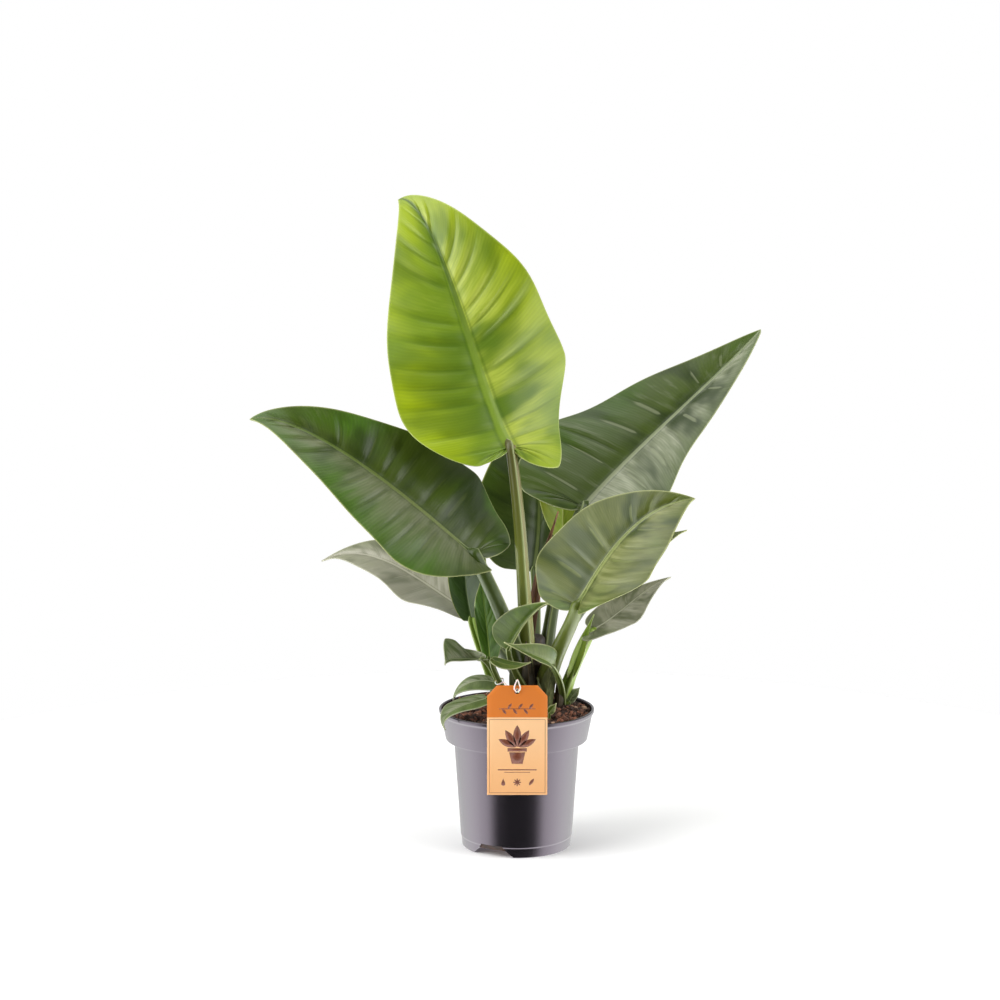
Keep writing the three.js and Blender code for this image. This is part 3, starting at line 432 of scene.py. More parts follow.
def direction(azimuth, elevation):
    """Unit vector at an azimuth from the front (-Y) towards +X and an elevation above the floor."""
    a, e = np.radians(azimuth), np.radians(elevation)
    return np.array([np.sin(a) * np.cos(e), -np.cos(a) * np.cos(e), np.sin(e)])


def unit(vectors):
    """The vectors at length one."""
    return vectors / np.maximum(np.linalg.norm(vectors, axis=-1, keepdims=True), 1e-9)


class Path:
    """A cubic curve read by distance along it, from 400 samples and their running length."""

    def __init__(self, points):
        self.samples = cubic(points, np.linspace(0, 1, 401))
        steps = np.linalg.norm(np.diff(self.samples, axis=0), axis=1)
        self.run = np.concatenate([[0], np.cumsum(steps)])
        self.length = self.run[-1]

    def at(self, distance):
        """Points at distances from the start."""
        distance = np.clip(distance, 0, self.length)
        return np.stack([np.interp(distance, self.run, self.samples[:, i]) for i in range(3)], -1)

    def tangent(self, distance):
        """Directions of travel at distances from the start, read from a millimetre before to one after."""
        distance = np.clip(distance, 1, self.length - 1)
        return unit(self.at(distance + 1) - self.at(distance - 1))


# Blades

def margin(k, length, side):
    """Edge of one half laid flat, as distance along the midrib and out from it, for rows k from 0 to 1.

    Three cubic curves follow each other: from the notch round the lobe, to the widest place, and to the tip.
    """
    reach, lobe = side["reach"], side["lobe"]
    widest = side["widest"] * length
    lobe_reach = side["lobe_reach"] * reach
    shoulder = lobe_reach + (reach - lobe_reach) * side["shoulder"]
    rest = length - widest
    lobe_part = [(0, 0), (-0.6 * lobe, 0.02 * reach), (-lobe, 0.55 * lobe_reach), (-lobe, lobe_reach)]
    wide_part = [(-lobe, lobe_reach), (-lobe, shoulder),
                 (widest - side["roundness"] * (widest + lobe), reach), (widest, reach)]
    tip_part = [(widest, reach), (widest + side["taper"] * rest, reach),
                (length - side["point"] * rest, 0.1 * reach), (length, 0)]
    in_lobe = cubic(lobe_part, np.clip(k / LOBE_ROWS, 0, 1))
    in_wide = cubic(wide_part, np.clip((k - LOBE_ROWS) / (WIDE_ROWS - LOBE_ROWS), 0, 1))
    in_tip = cubic(tip_part, np.clip((k - WIDE_ROWS) / (1 - WIDE_ROWS), 0, 1))
    flat = np.where((k <= LOBE_ROWS)[:, None], in_lobe, in_wide)
    return np.where((k > WIDE_ROWS)[:, None], in_tip, flat)


def flat_blade(k, u, length, side):
    """Flat place of row k, column u: a side vein leaves the midrib at a slant and turns out to the margin.

    It is a quadratic curve from its root on the midrib to the margin, and the lowest rows fan from the stalk.
    """
    climb = np.clip((k - FAN_ROWS) / (1 - FAN_ROWS), 0, 1)
    root = (climb**1.1 * length * LAST_ROOT)[:, None]
    edge = margin(k, length, side)
    size, count, shift = side["ripple"]
    bays = 1 + size * np.sin(2 * np.pi * (count * k + shift)) * np.sqrt(np.clip(np.sin(np.pi * k), 0, 1))
    along, out = edge[:, :1], edge[:, 1:] * bays[:, None]
    s = 1 - u
    flat_along = s * s * root + 2 * s * u * (root + VEIN_LEAN * (along - root)) + u * u * along
    flat_out = 2 * s * u * VEIN_REACH * out + u * u * out
    return flat_along, np.maximum(flat_out, 0)


def bend_blade(leaf, side, hand, along, out, k):
    """Point and upper normal of a flat place of a blade, bent into space.

    The place runs along the curved midrib; across it the blade rises at the fold angle and keeps turning by
    the curl angle over its reach, so its cross-section is an arc. Waves lift it by the square of the distance
    out.
    """
    path = Path(leaf["midrib"])
    chord = unit(np.subtract(leaf["midrib"][3], leaf["midrib"][0]))
    part = np.clip(along / path.length, 0, 1)
    part3 = part[..., None]
    tangent = path.tangent(part * path.length)
    face = direction(*leaf["face"][0]) * (1 - part3) + direction(*leaf["face"][1]) * part3
    across = unit(np.cross(chord, face))
    normal = unit(np.cross(across, tangent))
    fold = np.radians(side["fold"][0] * (1 - part) + side["fold"][1] * part)
    bend = np.radians(side["curl"][0] * (1 - part) + side["curl"][1] * part) / side["reach"]
    bend = np.where(np.abs(bend) < 1e-6, 1e-6, bend)
    slope = fold + bend * out
    sideways = (np.sin(slope) - np.sin(fold)) / bend
    upwards = (np.cos(fold) - np.cos(slope)) / bend
    point = path.at(part * path.length) + tangent * (along - part * path.length)[..., None]
    point = point + hand * across * sideways[..., None] + normal * upwards[..., None]
    slope = np.where(out > 0, slope, 0)
    upper = normal * np.cos(slope)[..., None] - hand * across * np.sin(slope)[..., None]
    depth, count = leaf["wave"]
    swell = depth * (out / side["reach"]) ** 2 * np.sin(2 * np.pi * (count * k[:, None] + 0.2 * hand))
    return point + upper * swell[..., None], upper


def blade_relief(leaf, hand, along, out, k, u, length, reach):
    """Height of the fine form above the plain blade in millimetres, and how high on a pleat each point is.

    The midrib is a low round ridge in a shallow trough. Each side vein lies in a narrow valley, shaped as a
    bell curve of the distance to it, and the blade swells between the valleys. Slow sines space the veins
    unevenly and make some pleats stronger. All fade out towards the tip and the margin.
    """
    size = np.clip(reach / FULL_REACH, 0.25, 1.2)
    part = np.clip(along / length, 0, 1)
    ending = np.clip((1 - part) * TIP_FADE, 0, 1)
    rib_width = (1.4 + 2.2 * (1 - part)) * size
    ridge = RIB_RIDGE * np.exp(-((out / rib_width) ** 2))
    rib = ridge - RIB_TROUGH * np.exp(-((out / (2.4 * rib_width)) ** 2))
    uneven = 0.25 * np.sin(17 * k + 2 * hand) + 0.12 * np.sin(41 * k) + 0.3 * hand
    phase = leaf.get("veins", VEINS) * k + uneven
    away = np.abs((phase + 0.5) % 1 - 0.5)
    pleat = 1 - 2 * np.exp(-((away / VALLEY_WIDTH) ** 2)) + 0.45 * np.sin(2 * np.pi * phase)
    strength = 0.75 + 0.35 * np.sin(7.3 * k + 3 * hand)
    fade = np.clip(u * 5, 0, 1) * np.clip((1 - u) * 2.2, 0, 1) ** 0.8
    lift = leaf.get("pleat", PLEAT) * (strength * pleat)[:, None] * fade
    return size * ending * (rib + lift), pleat[:, None] * fade


def half_blade_grid(leaf, side, hand, k, u, length):
    """Grid of one half of a blade, with the masks that its colours use.

    Each row runs over the upper face, round the rim and back under the lower face. The lower face follows
    the upper one's hollows but not its ridges, and is thickest along the midrib, where it has a keel.
    """
    along, out = flat_blade(k, u, length, side)
    point, upper = bend_blade(leaf, side, hand, along, out, k)
    relief, pleat = blade_relief(leaf, hand, along, out, k, u, length, side["reach"])
    size = np.clip(side["reach"] / FULL_REACH, 0.25, 1)
    rib = np.exp(-((out / (RIB_SPREAD * side["reach"])) ** 2))
    ending = np.clip((1 - along / length) * TIP_FADE, 0, 1)
    keel = RIB_KEEL * size * ending * np.exp(-((out / (3.2 * size)) ** 2))
    thickness = BLADE_EDGE + (BLADE_RIB - BLADE_EDGE) * rib + keel
    top = point + upper * relief[..., None]
    bottom = point + upper * (np.minimum(relief, 0) - thickness)[..., None]
    rim = (top[:, -1] + bottom[:, -1]) / 2
    inset = unit(point[:, -1] - point[:, -2]) * min(EDGE_INSET, 0.05 * side["reach"])
    inset[0] = inset[-1] = 0
    top[:, -1] -= inset
    bottom[:, -1] -= inset

    def both_faces(values):
        """A row's values for the upper face, the rim and the lower face in turn."""
        return np.concatenate([values, values[:, -1:], values[:, ::-1]], 1)

    column = both_faces(u)
    span = np.linalg.norm(point[:, -1] - point[:, 0], axis=1)[:, None]
    to_edge = (1 - column) * np.maximum(span, 2)
    part = np.clip(both_faces(along) / length, 0, 1)
    rib_width = leaf.get("rib", RIB_WIDTH) * (1 - part) + 0.8
    rib_width = rib_width * np.clip(side["reach"] / FULL_REACH, 0.3, 1.2)
    return dict(
        points=np.concatenate([top, rim[:, None], bottom[:, ::-1]], 1),
        flip=hand < 0,
        uv=np.stack(np.broadcast_arrays(k[:, None], hand * column * 0.5 + 0.5), -1),
        rib=np.exp(-((both_faces(out) / rib_width) ** 2)),
        edge=np.exp(-((to_edge / EDGE_LINE) ** 2)),
        under=np.concatenate([np.zeros(u.size), [0.5], np.ones(u.size)]),
        along=part,
        pleat=both_faces(pleat),
    )


def blade_piece(name, leaf, rows, columns):
    """Thin shell of a blade, made of its two halves. They share the line of the midrib, but the height of the
    rib there goes by each half's own reach, so halves of unlike reach meet with a small step. The grid's rows
    lie closer together at the notch and the tip, and its columns at the midrib and the margin."""
    length = Path(leaf["midrib"]).length
    t = np.linspace(0, 1, rows + 1)
    k = t - ROW_CROWDING * np.sin(2 * np.pi * t)
    across = np.linspace(0, 1, columns + 1)
    u = (across - COLUMN_CROWDING * np.sin(2 * np.pi * across))[None, :]
    halves = ((-1, leaf["left"]), (1, leaf["right"]))
    return grid_object(name, [half_blade_grid(leaf, side, hand, k, u, length) for hand, side in halves])


# Meshes from grids

ATTRIBUTES = ("rib", "edge", "under", "along", "pleat")


def grid_object(name, grids, around=False, caps=False, shell=True):
    """One mesh from grids of points in millimetres: neighbours in both directions make quads.

    around joins the last column to the first, caps closes the first and last rows with a fan, and flip turns
    a grid's faces round. Points that fall together are merged. With shell the faces are set outwards and the
    points kept inside the frame's own box. A grid without uv or masks gets zeros.
    """
    vertices, faces, uvs = [], [], []
    values = {key: [] for key in ATTRIBUTES}
    start = 0
    for grid in grids:
        points = grid["points"]
        rows, columns = points.shape[:2]
        index = start + np.arange(rows * columns).reshape(rows, columns)
        if around:
            index = np.concatenate([index, index[:, :1]], 1)
        a, b = index[:-1, :-1], index[:-1, 1:]
        c, d = index[1:, 1:], index[1:, :-1]
        quads = np.stack([a, b, c, d], -1).reshape(-1, 4)
        vertices.append(points.reshape(-1, 3))
        uv = np.broadcast_to(grid.get("uv", 0.0), (rows, columns, 2))
        uvs.append(uv.reshape(-1, 2))
        masks = {key: np.broadcast_to(grid.get(key, 0.0), (rows, columns)) for key in ATTRIBUTES}
        for key in ATTRIBUTES:
            values[key].append(masks[key].reshape(-1))
        start += rows * columns
        polygons = quads.tolist()
        if caps:
            for row, turn in ((0, True), (rows - 1, False)):
                vertices.append(points[row].mean(0)[None])
                uvs.append(uv[row, :1])
                for key in ATTRIBUTES:
                    values[key].append(masks[key][row, :1])
                ring = index[row]
                pairs = np.stack([ring[:-1], ring[1:]], -1)
                if turn:
                    pairs = pairs[:, ::-1]
                polygons += [[int(p), int(q), start] for p, q in pairs]
                start += 1
        if grid.get("flip"):
            polygons = [p[::-1] for p in polygons]
        faces += polygons
    mesh = bpy.data.meshes.new(name)
    coordinates = np.concatenate(vertices) * MM
    if shell:
        coordinates = np.clip(coordinates, cad_lowest, cad_highest)
    mesh.from_pydata(coordinates.tolist(), [], faces)
    loop_vertex = np.zeros(len(mesh.loops), int)
    mesh.loops.foreach_get("vertex_index", loop_vertex)
    layer = mesh.uv_layers.new(name="leaf")
    layer.data.foreach_set("uv", np.concatenate(uvs)[loop_vertex].astype(np.float32).ravel())
    for key in ATTRIBUTES:
        attribute = mesh.attributes.new(key, "FLOAT", "POINT")
        attribute.data.foreach_set("value", np.concatenate(values[key]).astype(np.float32))
    merge_doubles(mesh, shell)
    mesh.polygons.foreach_set("use_smooth", [True] * len(mesh.polygons))
    piece = bpy.data.objects.new(name, mesh)
    bpy.context.scene.collection.objects.link(piece)
    return piece


def merge_doubles(mesh, shell, distance=2e-6):
    """Joins points that fall together, drops faces that shrink to a line, and turns a shell's faces out."""
    work = bmesh.new()
    work.from_mesh(mesh)
    bmesh.ops.remove_doubles(work, verts=work.verts, dist=distance)
    bmesh.ops.dissolve_degenerate(work, edges=work.edges, dist=distance / 4)
    if shell:
        bmesh.ops.recalc_face_normals(work, faces=work.faces)
    work.to_mesh(mesh)
    work.free()


def sweep_grid(points, radii, section_angle, section_size, towards):
    """Rings of a section carried along points: each ring lies across the path, its angle 0 turned towards a
    fixed direction, and its radius is the path's radius times the section's."""
    tangent = unit(np.gradient(points, axis=0))
    front = unit(towards - tangent * (tangent @ towards)[:, None])
    beside = np.cross(tangent, front)
    radius = radii[:, None] * section_size
    return (points[:, None] + (radius * np.cos(section_angle))[..., None] * front[:, None]
            + (radius * np.sin(section_angle))[..., None] * beside[:, None])


def slab(name, rings, flip=False):
    """Closed piece between a first and a last ring of points."""
    return grid_object(name, [dict(points=np.stack(rings), flip=flip)], around=True, caps=True)


def stalk_piece(name, leaf, young=False):
    """Leaf stalk: a round rod with a channel between two low wings on one side, which gets thinner upwards
    and runs on under the foot of the midrib."""
    stalk = leaf["stalk"]
    path = Path([*stalk["route"], leaf["midrib"][0]])
    rib = Path(leaf["midrib"])
    low, high = stalk["radii"]
    under = -direction(*leaf["face"][0])
    t = np.linspace(0, 1, 60)
    points = path.at(t * path.length)
    sizes = (low + (high - low) * t) * (1 + FOOT_SWELL * (1 - t) ** 4)
    run = np.linspace(0.4, 3.6, 9) * high
    run = np.minimum(run, 0.5 * rib.length)
    share = np.interp(run / high, [0, 1.6, 3.6], [1, 0.55, 0.15])
    beneath = np.interp(run / high, [0, 1.6], [0, 1])
    tail = rib.at(run) + under * ((share * high + 0.8) * beneath)[:, None]
    points = np.concatenate([points, tail])
    sizes = np.concatenate([sizes, share * high])
    angle = np.linspace(0, 2 * np.pi, 48, endpoint=False)
    off = np.degrees(np.abs((angle + np.pi) % (2 * np.pi) - np.pi))
    deep = YOUNG_CHANNEL_DEPTH if young else CHANNEL_DEPTH
    wing = YOUNG_WING_HEIGHT if young else WING_HEIGHT
    section = 0.97 - deep * np.exp(-((off / CHANNEL_WIDTH) ** 2))
    section = section + wing * np.exp(-(((off - WING_ANGLE) / WING_WIDTH) ** 2))
    grid = sweep_grid(points, sizes, angle, section, direction(stalk.get("groove", 0), 0))
    height = np.linspace(0, 1, len(points))
    return grid_object(name, [dict(
        points=grid,
        uv=np.stack(np.broadcast_arrays(height[:, None], angle[None, :] / (2 * np.pi)), -1),
        rib=np.exp(-((off / 30) ** 2))[None, :],
        edge=np.exp(-(((off - 49) / 8) ** 2))[None, :],
        along=height[:, None],
    )], around=True, caps=True)


def stem_piece(name, stem, seed):
    """Stem: a rod with a raised ring at each old leaf's scar and uneven bark from a few seeded waves."""
    rng = np.random.default_rng(seed)
    foot, top = np.array(stem["foot"], float), np.array(stem["top"], float)
    t = np.linspace(0, 1, 90)
    angle = np.linspace(0, 2 * np.pi, 72, endpoint=False)
    points = foot + (top - foot) * t[:, None]
    radius = stem["radii"][0] + (stem["radii"][1] - stem["radii"][0]) * t
    tilt = 0.25 * np.sin(angle + 1.1)[None, :]
    ring = np.clip(np.sin(np.pi * (stem["rings"] * t[:, None] * 2 + tilt)), 0, 1) ** 3
    bark = 0
    for waves in (3, 5, 9, 14, 23):
        depth, start, twist = rng.uniform(0.1, 0.3), rng.uniform(0, 6), rng.uniform(-1, 1)
        bark = bark + depth * np.sin(waves * angle[None, :] + start + 14 * t[:, None] * twist)
    size = radius[:, None] + RING_LIFT * ring + bark
    dome = np.sqrt(np.clip(1 - ((t - DOME_START) / (1 - DOME_START)) ** 2, 0, 1))
    size = size * np.where(t < DOME_START, 1, 0.4 + 0.6 * dome)[:, None]
    grid = sweep_grid(points, np.ones(len(t)), angle, size, np.array([0, -1.0, 0]))
    return grid_object(name, [dict(
        points=grid,
        uv=np.stack(np.broadcast_arrays(t[:, None], angle[None, :] / (2 * np.pi)), -1),
        rib=ring,
        along=t[:, None],
    )], around=True, caps=True)


# Pot, soil and tag

def wall_radius(height):
    """Outer radius of the pot: a straight taper up to the neck, then the wider band of the rim."""
    if height <= POT_NECK_HEIGHT:
        return POT_FOOT_RADIUS + (POT_NECK_RADIUS - POT_FOOT_RADIUS) * height / POT_NECK_HEIGHT
    part = (height - POT_NECK_HEIGHT) / (POT_HEIGHT - POT_NECK_HEIGHT)
    return RIM_LOW_RADIUS + (RIM_TOP_RADIUS - RIM_LOW_RADIUS) * part


def round_profile(corners, steps=4):
    """Profile through (radius, height, rounding) corners: each corner becomes a quadratic curve between the
    two points that lie the rounding away from it."""
    points = []
    count = len(corners)
    for i, (r, z, size) in enumerate(corners):
        here = np.array([r, z], float)
        before = np.array(corners[max(i - 1, 0)][:2], float)
        after = np.array(corners[min(i + 1, count - 1)][:2], float)
        if size == 0 or i in (0, count - 1):
            points.append(here)
            continue
        first = here + unit(before - here) * min(size, 0.45 * np.linalg.norm(before - here))
        last = here + unit(after - here) * min(size, 0.45 * np.linalg.norm(after - here))
        t = np.linspace(0, 1, steps + 1)[:, None]
        points += list((1 - t) ** 2 * first + 2 * t * (1 - t) * here + t * t * last)
    return np.array(points)


def pot_piece():
    """Pot: a rounded profile turned about the axis, with the drain holes and notches cut through it."""
    floor_top = POT_FLOOR_HEIGHT + POT_WALL
    skirt = wall_radius(POT_FLOOR_HEIGHT) - POT_WALL - POT_STEP
    corners = [
        (0, 0, 0),
        (POT_PAD_RADIUS, 0, 0.5),
        (POT_PAD_RADIUS + 1.5, POT_FLOOR_HEIGHT, 0.5),
        (skirt, POT_FLOOR_HEIGHT, 0.4),
        (wall_radius(0) - POT_WALL - POT_STEP, 0, 0.3),
        (wall_radius(0) - POT_STEP, 0, 0.5),
        (wall_radius(POT_STEP_HEIGHT - 1) - POT_STEP, POT_STEP_HEIGHT - 1, 0.5),
        (wall_radius(POT_STEP_HEIGHT), POT_STEP_HEIGHT, 0.6),
        (wall_radius(POT_NECK_HEIGHT), POT_NECK_HEIGHT, 1.2),
        (RIM_LOW_RADIUS, POT_NECK_HEIGHT, 1.3),
        (RIM_TOP_RADIUS - 0.6, POT_HEIGHT - 5, 0.8),
        (RIM_LIP_RADIUS, POT_HEIGHT - 3.2, 0.7),
        (RIM_LIP_RADIUS, POT_HEIGHT, 0.9),
        (RIM_LIP_RADIUS - 2.2, POT_HEIGHT, 0.8),
        (RIM_TOP_RADIUS - POT_WALL - 0.6, POT_HEIGHT - 3, 0.6),
        (RIM_LOW_RADIUS - POT_WALL, POT_NECK_HEIGHT + POT_WALL, 0.8),
        (wall_radius(POT_NECK_HEIGHT) - POT_WALL, POT_NECK_HEIGHT + POT_WALL, 0.8),
        (skirt, floor_top, 0.4),
        (POT_PAD_RADIUS - 0.5, floor_top, 0.4),
        (POT_PAD_RADIUS - 2, POT_WALL, 0.3),
        (0, POT_WALL, 0),
    ]
    profile = round_profile(corners)
    angle = np.linspace(0, 2 * np.pi, 160, endpoint=False)
    radius, height = profile[:, :1], profile[:, 1:]
    points = np.stack(np.broadcast_arrays(radius * np.cos(angle), radius * np.sin(angle), height), -1)
    uv = np.stack(np.broadcast_arrays(height / POT_HEIGHT, angle[None, :] / (2 * np.pi)), -1)
    pot = grid_object("pot_shell", [dict(points=points, uv=uv, flip=True)], around=True)
    for i in range(DRAIN_HOLES):
        cut(pot, drain_cut((i + 0.5) / DRAIN_HOLES * 2 * np.pi))
    for turn in NOTCH_ANGLES:
        cut(pot, notch_cut(turn))
    pot.data.polygons.foreach_set("use_smooth", [True] * len(pot.data.polygons))
    pot.data.set_sharp_from_angle(angle=np.radians(45))
    return pot


def drain_cut(turn):
    """Upright rod that cuts one drain hole, at an angle in radians round the pot's floor."""
    angle = np.linspace(0, 2 * np.pi, 32, endpoint=False)
    x = DRAIN_HOLE_RADIUS * np.cos(angle) + DRAIN_HOLE_CIRCLE * np.cos(turn)
    y = DRAIN_HOLE_RADIUS * np.sin(angle) + DRAIN_HOLE_CIRCLE * np.sin(turn)
    return slab("drain_cut", [np.column_stack([x, y, np.full(len(x), z)]) for z in DRAIN_CUT_HEIGHTS])


def notch_cut(turn):
    """Wedge that cuts a drain notch: a low arch with curved sides, carried in through the foot."""
    t = np.linspace(0, 1, 8)
    side_x = NOTCH_TOP_WIDTH / 2 + (NOTCH_BASE_WIDTH - NOTCH_TOP_WIDTH) / 2 * (1 - t) ** 2
    side_z = NOTCH_HEIGHT * (1 - (1 - t) ** 1.6)
    right = np.column_stack([side_x, side_z])
    left = np.column_stack([-side_x[::-1], side_z[::-1]])
    base = np.array([[-NOTCH_BASE_WIDTH / 2, -2], [NOTCH_BASE_WIDTH / 2, -2]])
    outline = np.concatenate([base, right, left])
    a = np.radians(turn)
    inwards = np.array([-np.sin(a), np.cos(a), 0])
    across = np.array([np.cos(a), np.sin(a), 0])
    start = -inwards * (POT_FOOT_RADIUS + NOTCH_CUT_START)
    face = start + outline[:, :1] * across + outline[:, 1:] * np.array([0, 0, 1.0])
    return slab("notch_cut", [face, face + inwards * NOTCH_CUT_DEPTH], flip=True)


def cut(piece, cutter):
    """Takes the cutter's shape out of the piece and deletes the cutter."""
    modifier = piece.modifiers.new("cut", "BOOLEAN")
    modifier.operation = "DIFFERENCE"
    modifier.solver = "EXACT"
    modifier.object = cutter
    graph = bpy.context.evaluated_depsgraph_get()
    result = bpy.data.meshes.new_from_object(piece.evaluated_get(graph))
    piece.modifiers.clear()
    piece.data = result
    bpy.data.objects.remove(cutter)


def soil_lumps():
    """The slow waves of the soil's surface, from a plain number generator that always gives the same."""
    state = 11
    draws = []
    for _ in range(4 * SOIL_LUMPS):
        state = (state * 1664525 + 1013904223) % 4294967296
        draws.append(state / 4294967296)
    lumps = []
    for a, b, c, d in np.reshape(draws, (SOIL_LUMPS, 4)):
        rate = 0.12 + 0.28 * b
        lumps.append((rate * np.cos(2 * np.pi * a), rate * np.sin(2 * np.pi * a), 6 * c, 0.3 + 0.5 * d))
    return lumps


def soil_height(x, y):
    """Soil surface: a low crown, a little higher at the back, with slow waves."""
    edge = 1 - (np.hypot(x, y) / RIM_TOP_RADIUS) ** 2
    height = SOIL_EDGE_HEIGHT + SOIL_BACK_RISE * y / RIM_TOP_RADIUS + SOIL_CROWN * edge
    for ax, ay, phase, size in soil_lumps():
        height = height + SOIL_LUMP_HEIGHT * size * np.sin(ax * x + ay * y + phase)
    return height


def soil_piece():
    """Soil: a disc of rings over the crowned surface, roughened by seeded short waves, closed below."""
    rng = np.random.default_rng(5)
    radius = SOIL_RADIUS * np.linspace(0, 1, 70)[:, None]
    angle = np.linspace(0, 2 * np.pi, 220, endpoint=False)[None, :]
    x, y = radius * np.cos(angle), radius * np.sin(angle)
    rough = np.zeros_like(x)
    for rate, size in ((0.5, 0.7), (0.9, 0.5), (1.6, 0.4), (2.6, 0.25)):
        for _ in range(5):
            turn, phase = rng.uniform(0, 2 * np.pi, 2)
            rough += size * 0.5 * np.sin(rate * (np.cos(turn) * x + np.sin(turn) * y) + phase)
    top = np.stack([x, y, soil_height(x, y) - 1.0 + rough], -1)
    lower = np.array([(SOIL_RADIUS - 0.6, 122), (66.5, 106), (58.6, 105.8), (51.5, 6)])
    rim, depth = lower[:, :1], lower[:, 1:]
    side = np.stack(np.broadcast_arrays(rim * np.cos(angle), rim * np.sin(angle), depth), -1)
    points = np.concatenate([top, side])
    uv = points[..., :2] / 150 + 0.5
    return grid_object("soil_bed", [dict(points=points, uv=uv)], around=True, caps=True)


def crumbs_piece():
    """Peat and bark crumbs: small twenty-faced lumps, each squashed, turned and knocked out of true."""
    rng = np.random.default_rng(21)
    golden = (1 + 5**0.5) / 2
    ico = np.array([(-1, golden, 0), (1, golden, 0), (-1, -golden, 0), (1, -golden, 0),
                    (0, -1, golden), (0, 1, golden), (0, -1, -golden), (0, 1, -golden),
                    (golden, 0, -1), (golden, 0, 1), (-golden, 0, -1), (-golden, 0, 1)])
    ico = unit(ico)
    sides = np.array([(0, 11, 5), (0, 5, 1), (0, 1, 7), (0, 7, 10), (0, 10, 11), (1, 5, 9), (5, 11, 4),
                      (11, 10, 2), (10, 7, 6), (7, 1, 8), (3, 9, 4), (3, 4, 2), (3, 2, 6), (3, 6, 8),
                      (3, 8, 9), (4, 9, 5), (2, 4, 11), (6, 2, 10), (8, 6, 7), (9, 8, 1)])
    radius = (SOIL_RADIUS - 1.5) * np.sqrt(rng.uniform(0, 1, CRUMBS))
    turn = rng.uniform(0, 2 * np.pi, CRUMBS)
    x, y = radius * np.cos(turn), radius * np.sin(turn)
    size = 0.6 + 2.1 * rng.uniform(0, 1, CRUMBS) ** 3.5
    stretch = rng.uniform(0.5, 1.5, (CRUMBS, 3))
    axes = unit(rng.normal(size=(CRUMBS, 3, 3)))
    first = axes[:, 0]
    second = unit(np.cross(first, axes[:, 1]))
    third = np.cross(first, second)
    knocked = ico * rng.uniform(0.75, 1.2, (CRUMBS, 12, 1)) * (size[:, None] * stretch)[:, None, :]
    turned = (knocked[..., :1] * first[:, None] + knocked[..., 1:2] * second[:, None]
              + knocked[..., 2:] * third[:, None])
    place = np.stack([x, y, soil_height(x, y) - 0.6 + 0.2 * size], -1)
    points = (turned + place[:, None]).reshape(-1, 3)
    faces = (sides[None] + 12 * np.arange(CRUMBS)[:, None, None]).reshape(-1, 3)
    mesh = bpy.data.meshes.new("soil_crumbs")
    mesh.from_pydata((points * MM).tolist(), [], faces.tolist())
    shade = mesh.attributes.new("along", "FLOAT", "POINT")
    shade.data.foreach_set("value", np.repeat(rng.uniform(0, 1, CRUMBS), 12).astype(np.float32))
    piece = bpy.data.objects.new("soil_crumbs", mesh)
    bpy.context.scene.collection.objects.link(piece)
    return piece


def card_outline():
    """Outline of the tag as points round it: straight lower corners and cut upper ones."""
    side = TAG_WIDTH / 2
    return np.array([
        (-side, TAG_BOTTOM), (side, TAG_BOTTOM), (side, TAG_TOP - TAG_CORNER_HEIGHT),
        (side - TAG_CORNER_WIDTH, TAG_TOP), (-side + TAG_CORNER_WIDTH, TAG_TOP),
        (-side, TAG_TOP - TAG_CORNER_HEIGHT),
    ])


def tag_piece():
    """Tag: a grid between the card's outline and its punched hole, on both faces, with walls between."""
    corners = card_outline()
    ring = np.concatenate([corners, corners[:1]])
    edges = np.linalg.norm(np.diff(ring, axis=0), axis=1)
    run = np.concatenate([[0], np.cumsum(edges)])
    stations = np.unique(np.concatenate([np.linspace(0, run[-1], 241), run]))[:-1]
    outer = np.stack([np.interp(stations, run, ring[:, i]) for i in range(2)], -1)
    centre = np.array([0, TAG_HOLE_HEIGHT])
    inner = centre + TAG_HOLE_RADIUS * unit(outer - centre)
    loops = []
    for y, shares in ((TAG_FRONT_Y, (0, 0.02, 0.3, 0.7, 0.996, 1)),
                      (TAG_FRONT_Y + TAG_THICKNESS, (1, 0.996, 0.7, 0.3, 0.02, 0))):
        for share in shares:
            flat = inner + (outer - inner) * share
            shift = 0.08 if share in (0, 1) else 0
            depth = y + (shift if y == TAG_FRONT_Y else -shift)
            loops.append(np.column_stack([flat[:, 0], np.full(len(flat), depth), flat[:, 1]]))
    loops.append(loops[0])
    points = np.stack(loops)
    uv = points[..., [0, 2]] / 150
    return grid_object("tag_card", [dict(points=points, uv=uv)], around=True)


def flat_print(name, outline):
    """A printed shape on the tag's face: a closed outline given a hair's thickness."""
    depth = np.full(len(outline), TAG_FRONT_Y - PRINT_THICKNESS)
    front = np.column_stack([outline[:, 0], depth, outline[:, 1]])
    return slab(name, [front + np.array([0, PRINT_THICKNESS + 0.02, 0]), front])


def leaf_print(name, x, z, size, lean):
    """A plain leaf mark: two arcs that meet at its ends, leaning by an angle about its foot."""
    t = np.linspace(-1, 1, 20)
    arc = 0.36 * (1 - t**2)
    flat = np.concatenate([np.column_stack([arc, t + 1]), np.column_stack([-arc, t + 1])[-2:0:-1]])
    a = np.radians(lean)
    turned = flat @ np.array([[np.cos(a), -np.sin(a)], [np.sin(a), np.cos(a)]])
    return flat_print(name, turned * size / 2 + np.array([x, z]))


def bar_print(name, x, z, top_width, height, base_width=None):
    """A bar, or a trapezium where its base has a width of its own."""
    base_width = base_width or top_width
    low = [(-base_width, -height), (base_width, -height)]
    high = [(top_width, height), (-top_width, height)]
    return flat_print(name, np.array(low + high) / 2 + np.array([x, z]))


def drop_print(name, x, z, size):
    """A drop: x is sin(t) times sin(t/2) squared, z is cos(t)."""
    t = np.linspace(0, 2 * np.pi, 32, endpoint=False)
    outline = np.column_stack([0.8 * np.sin(t) * np.sin(t / 2) ** 2, np.cos(t)])
    return flat_print(name, outline * size + np.array([x, z]))


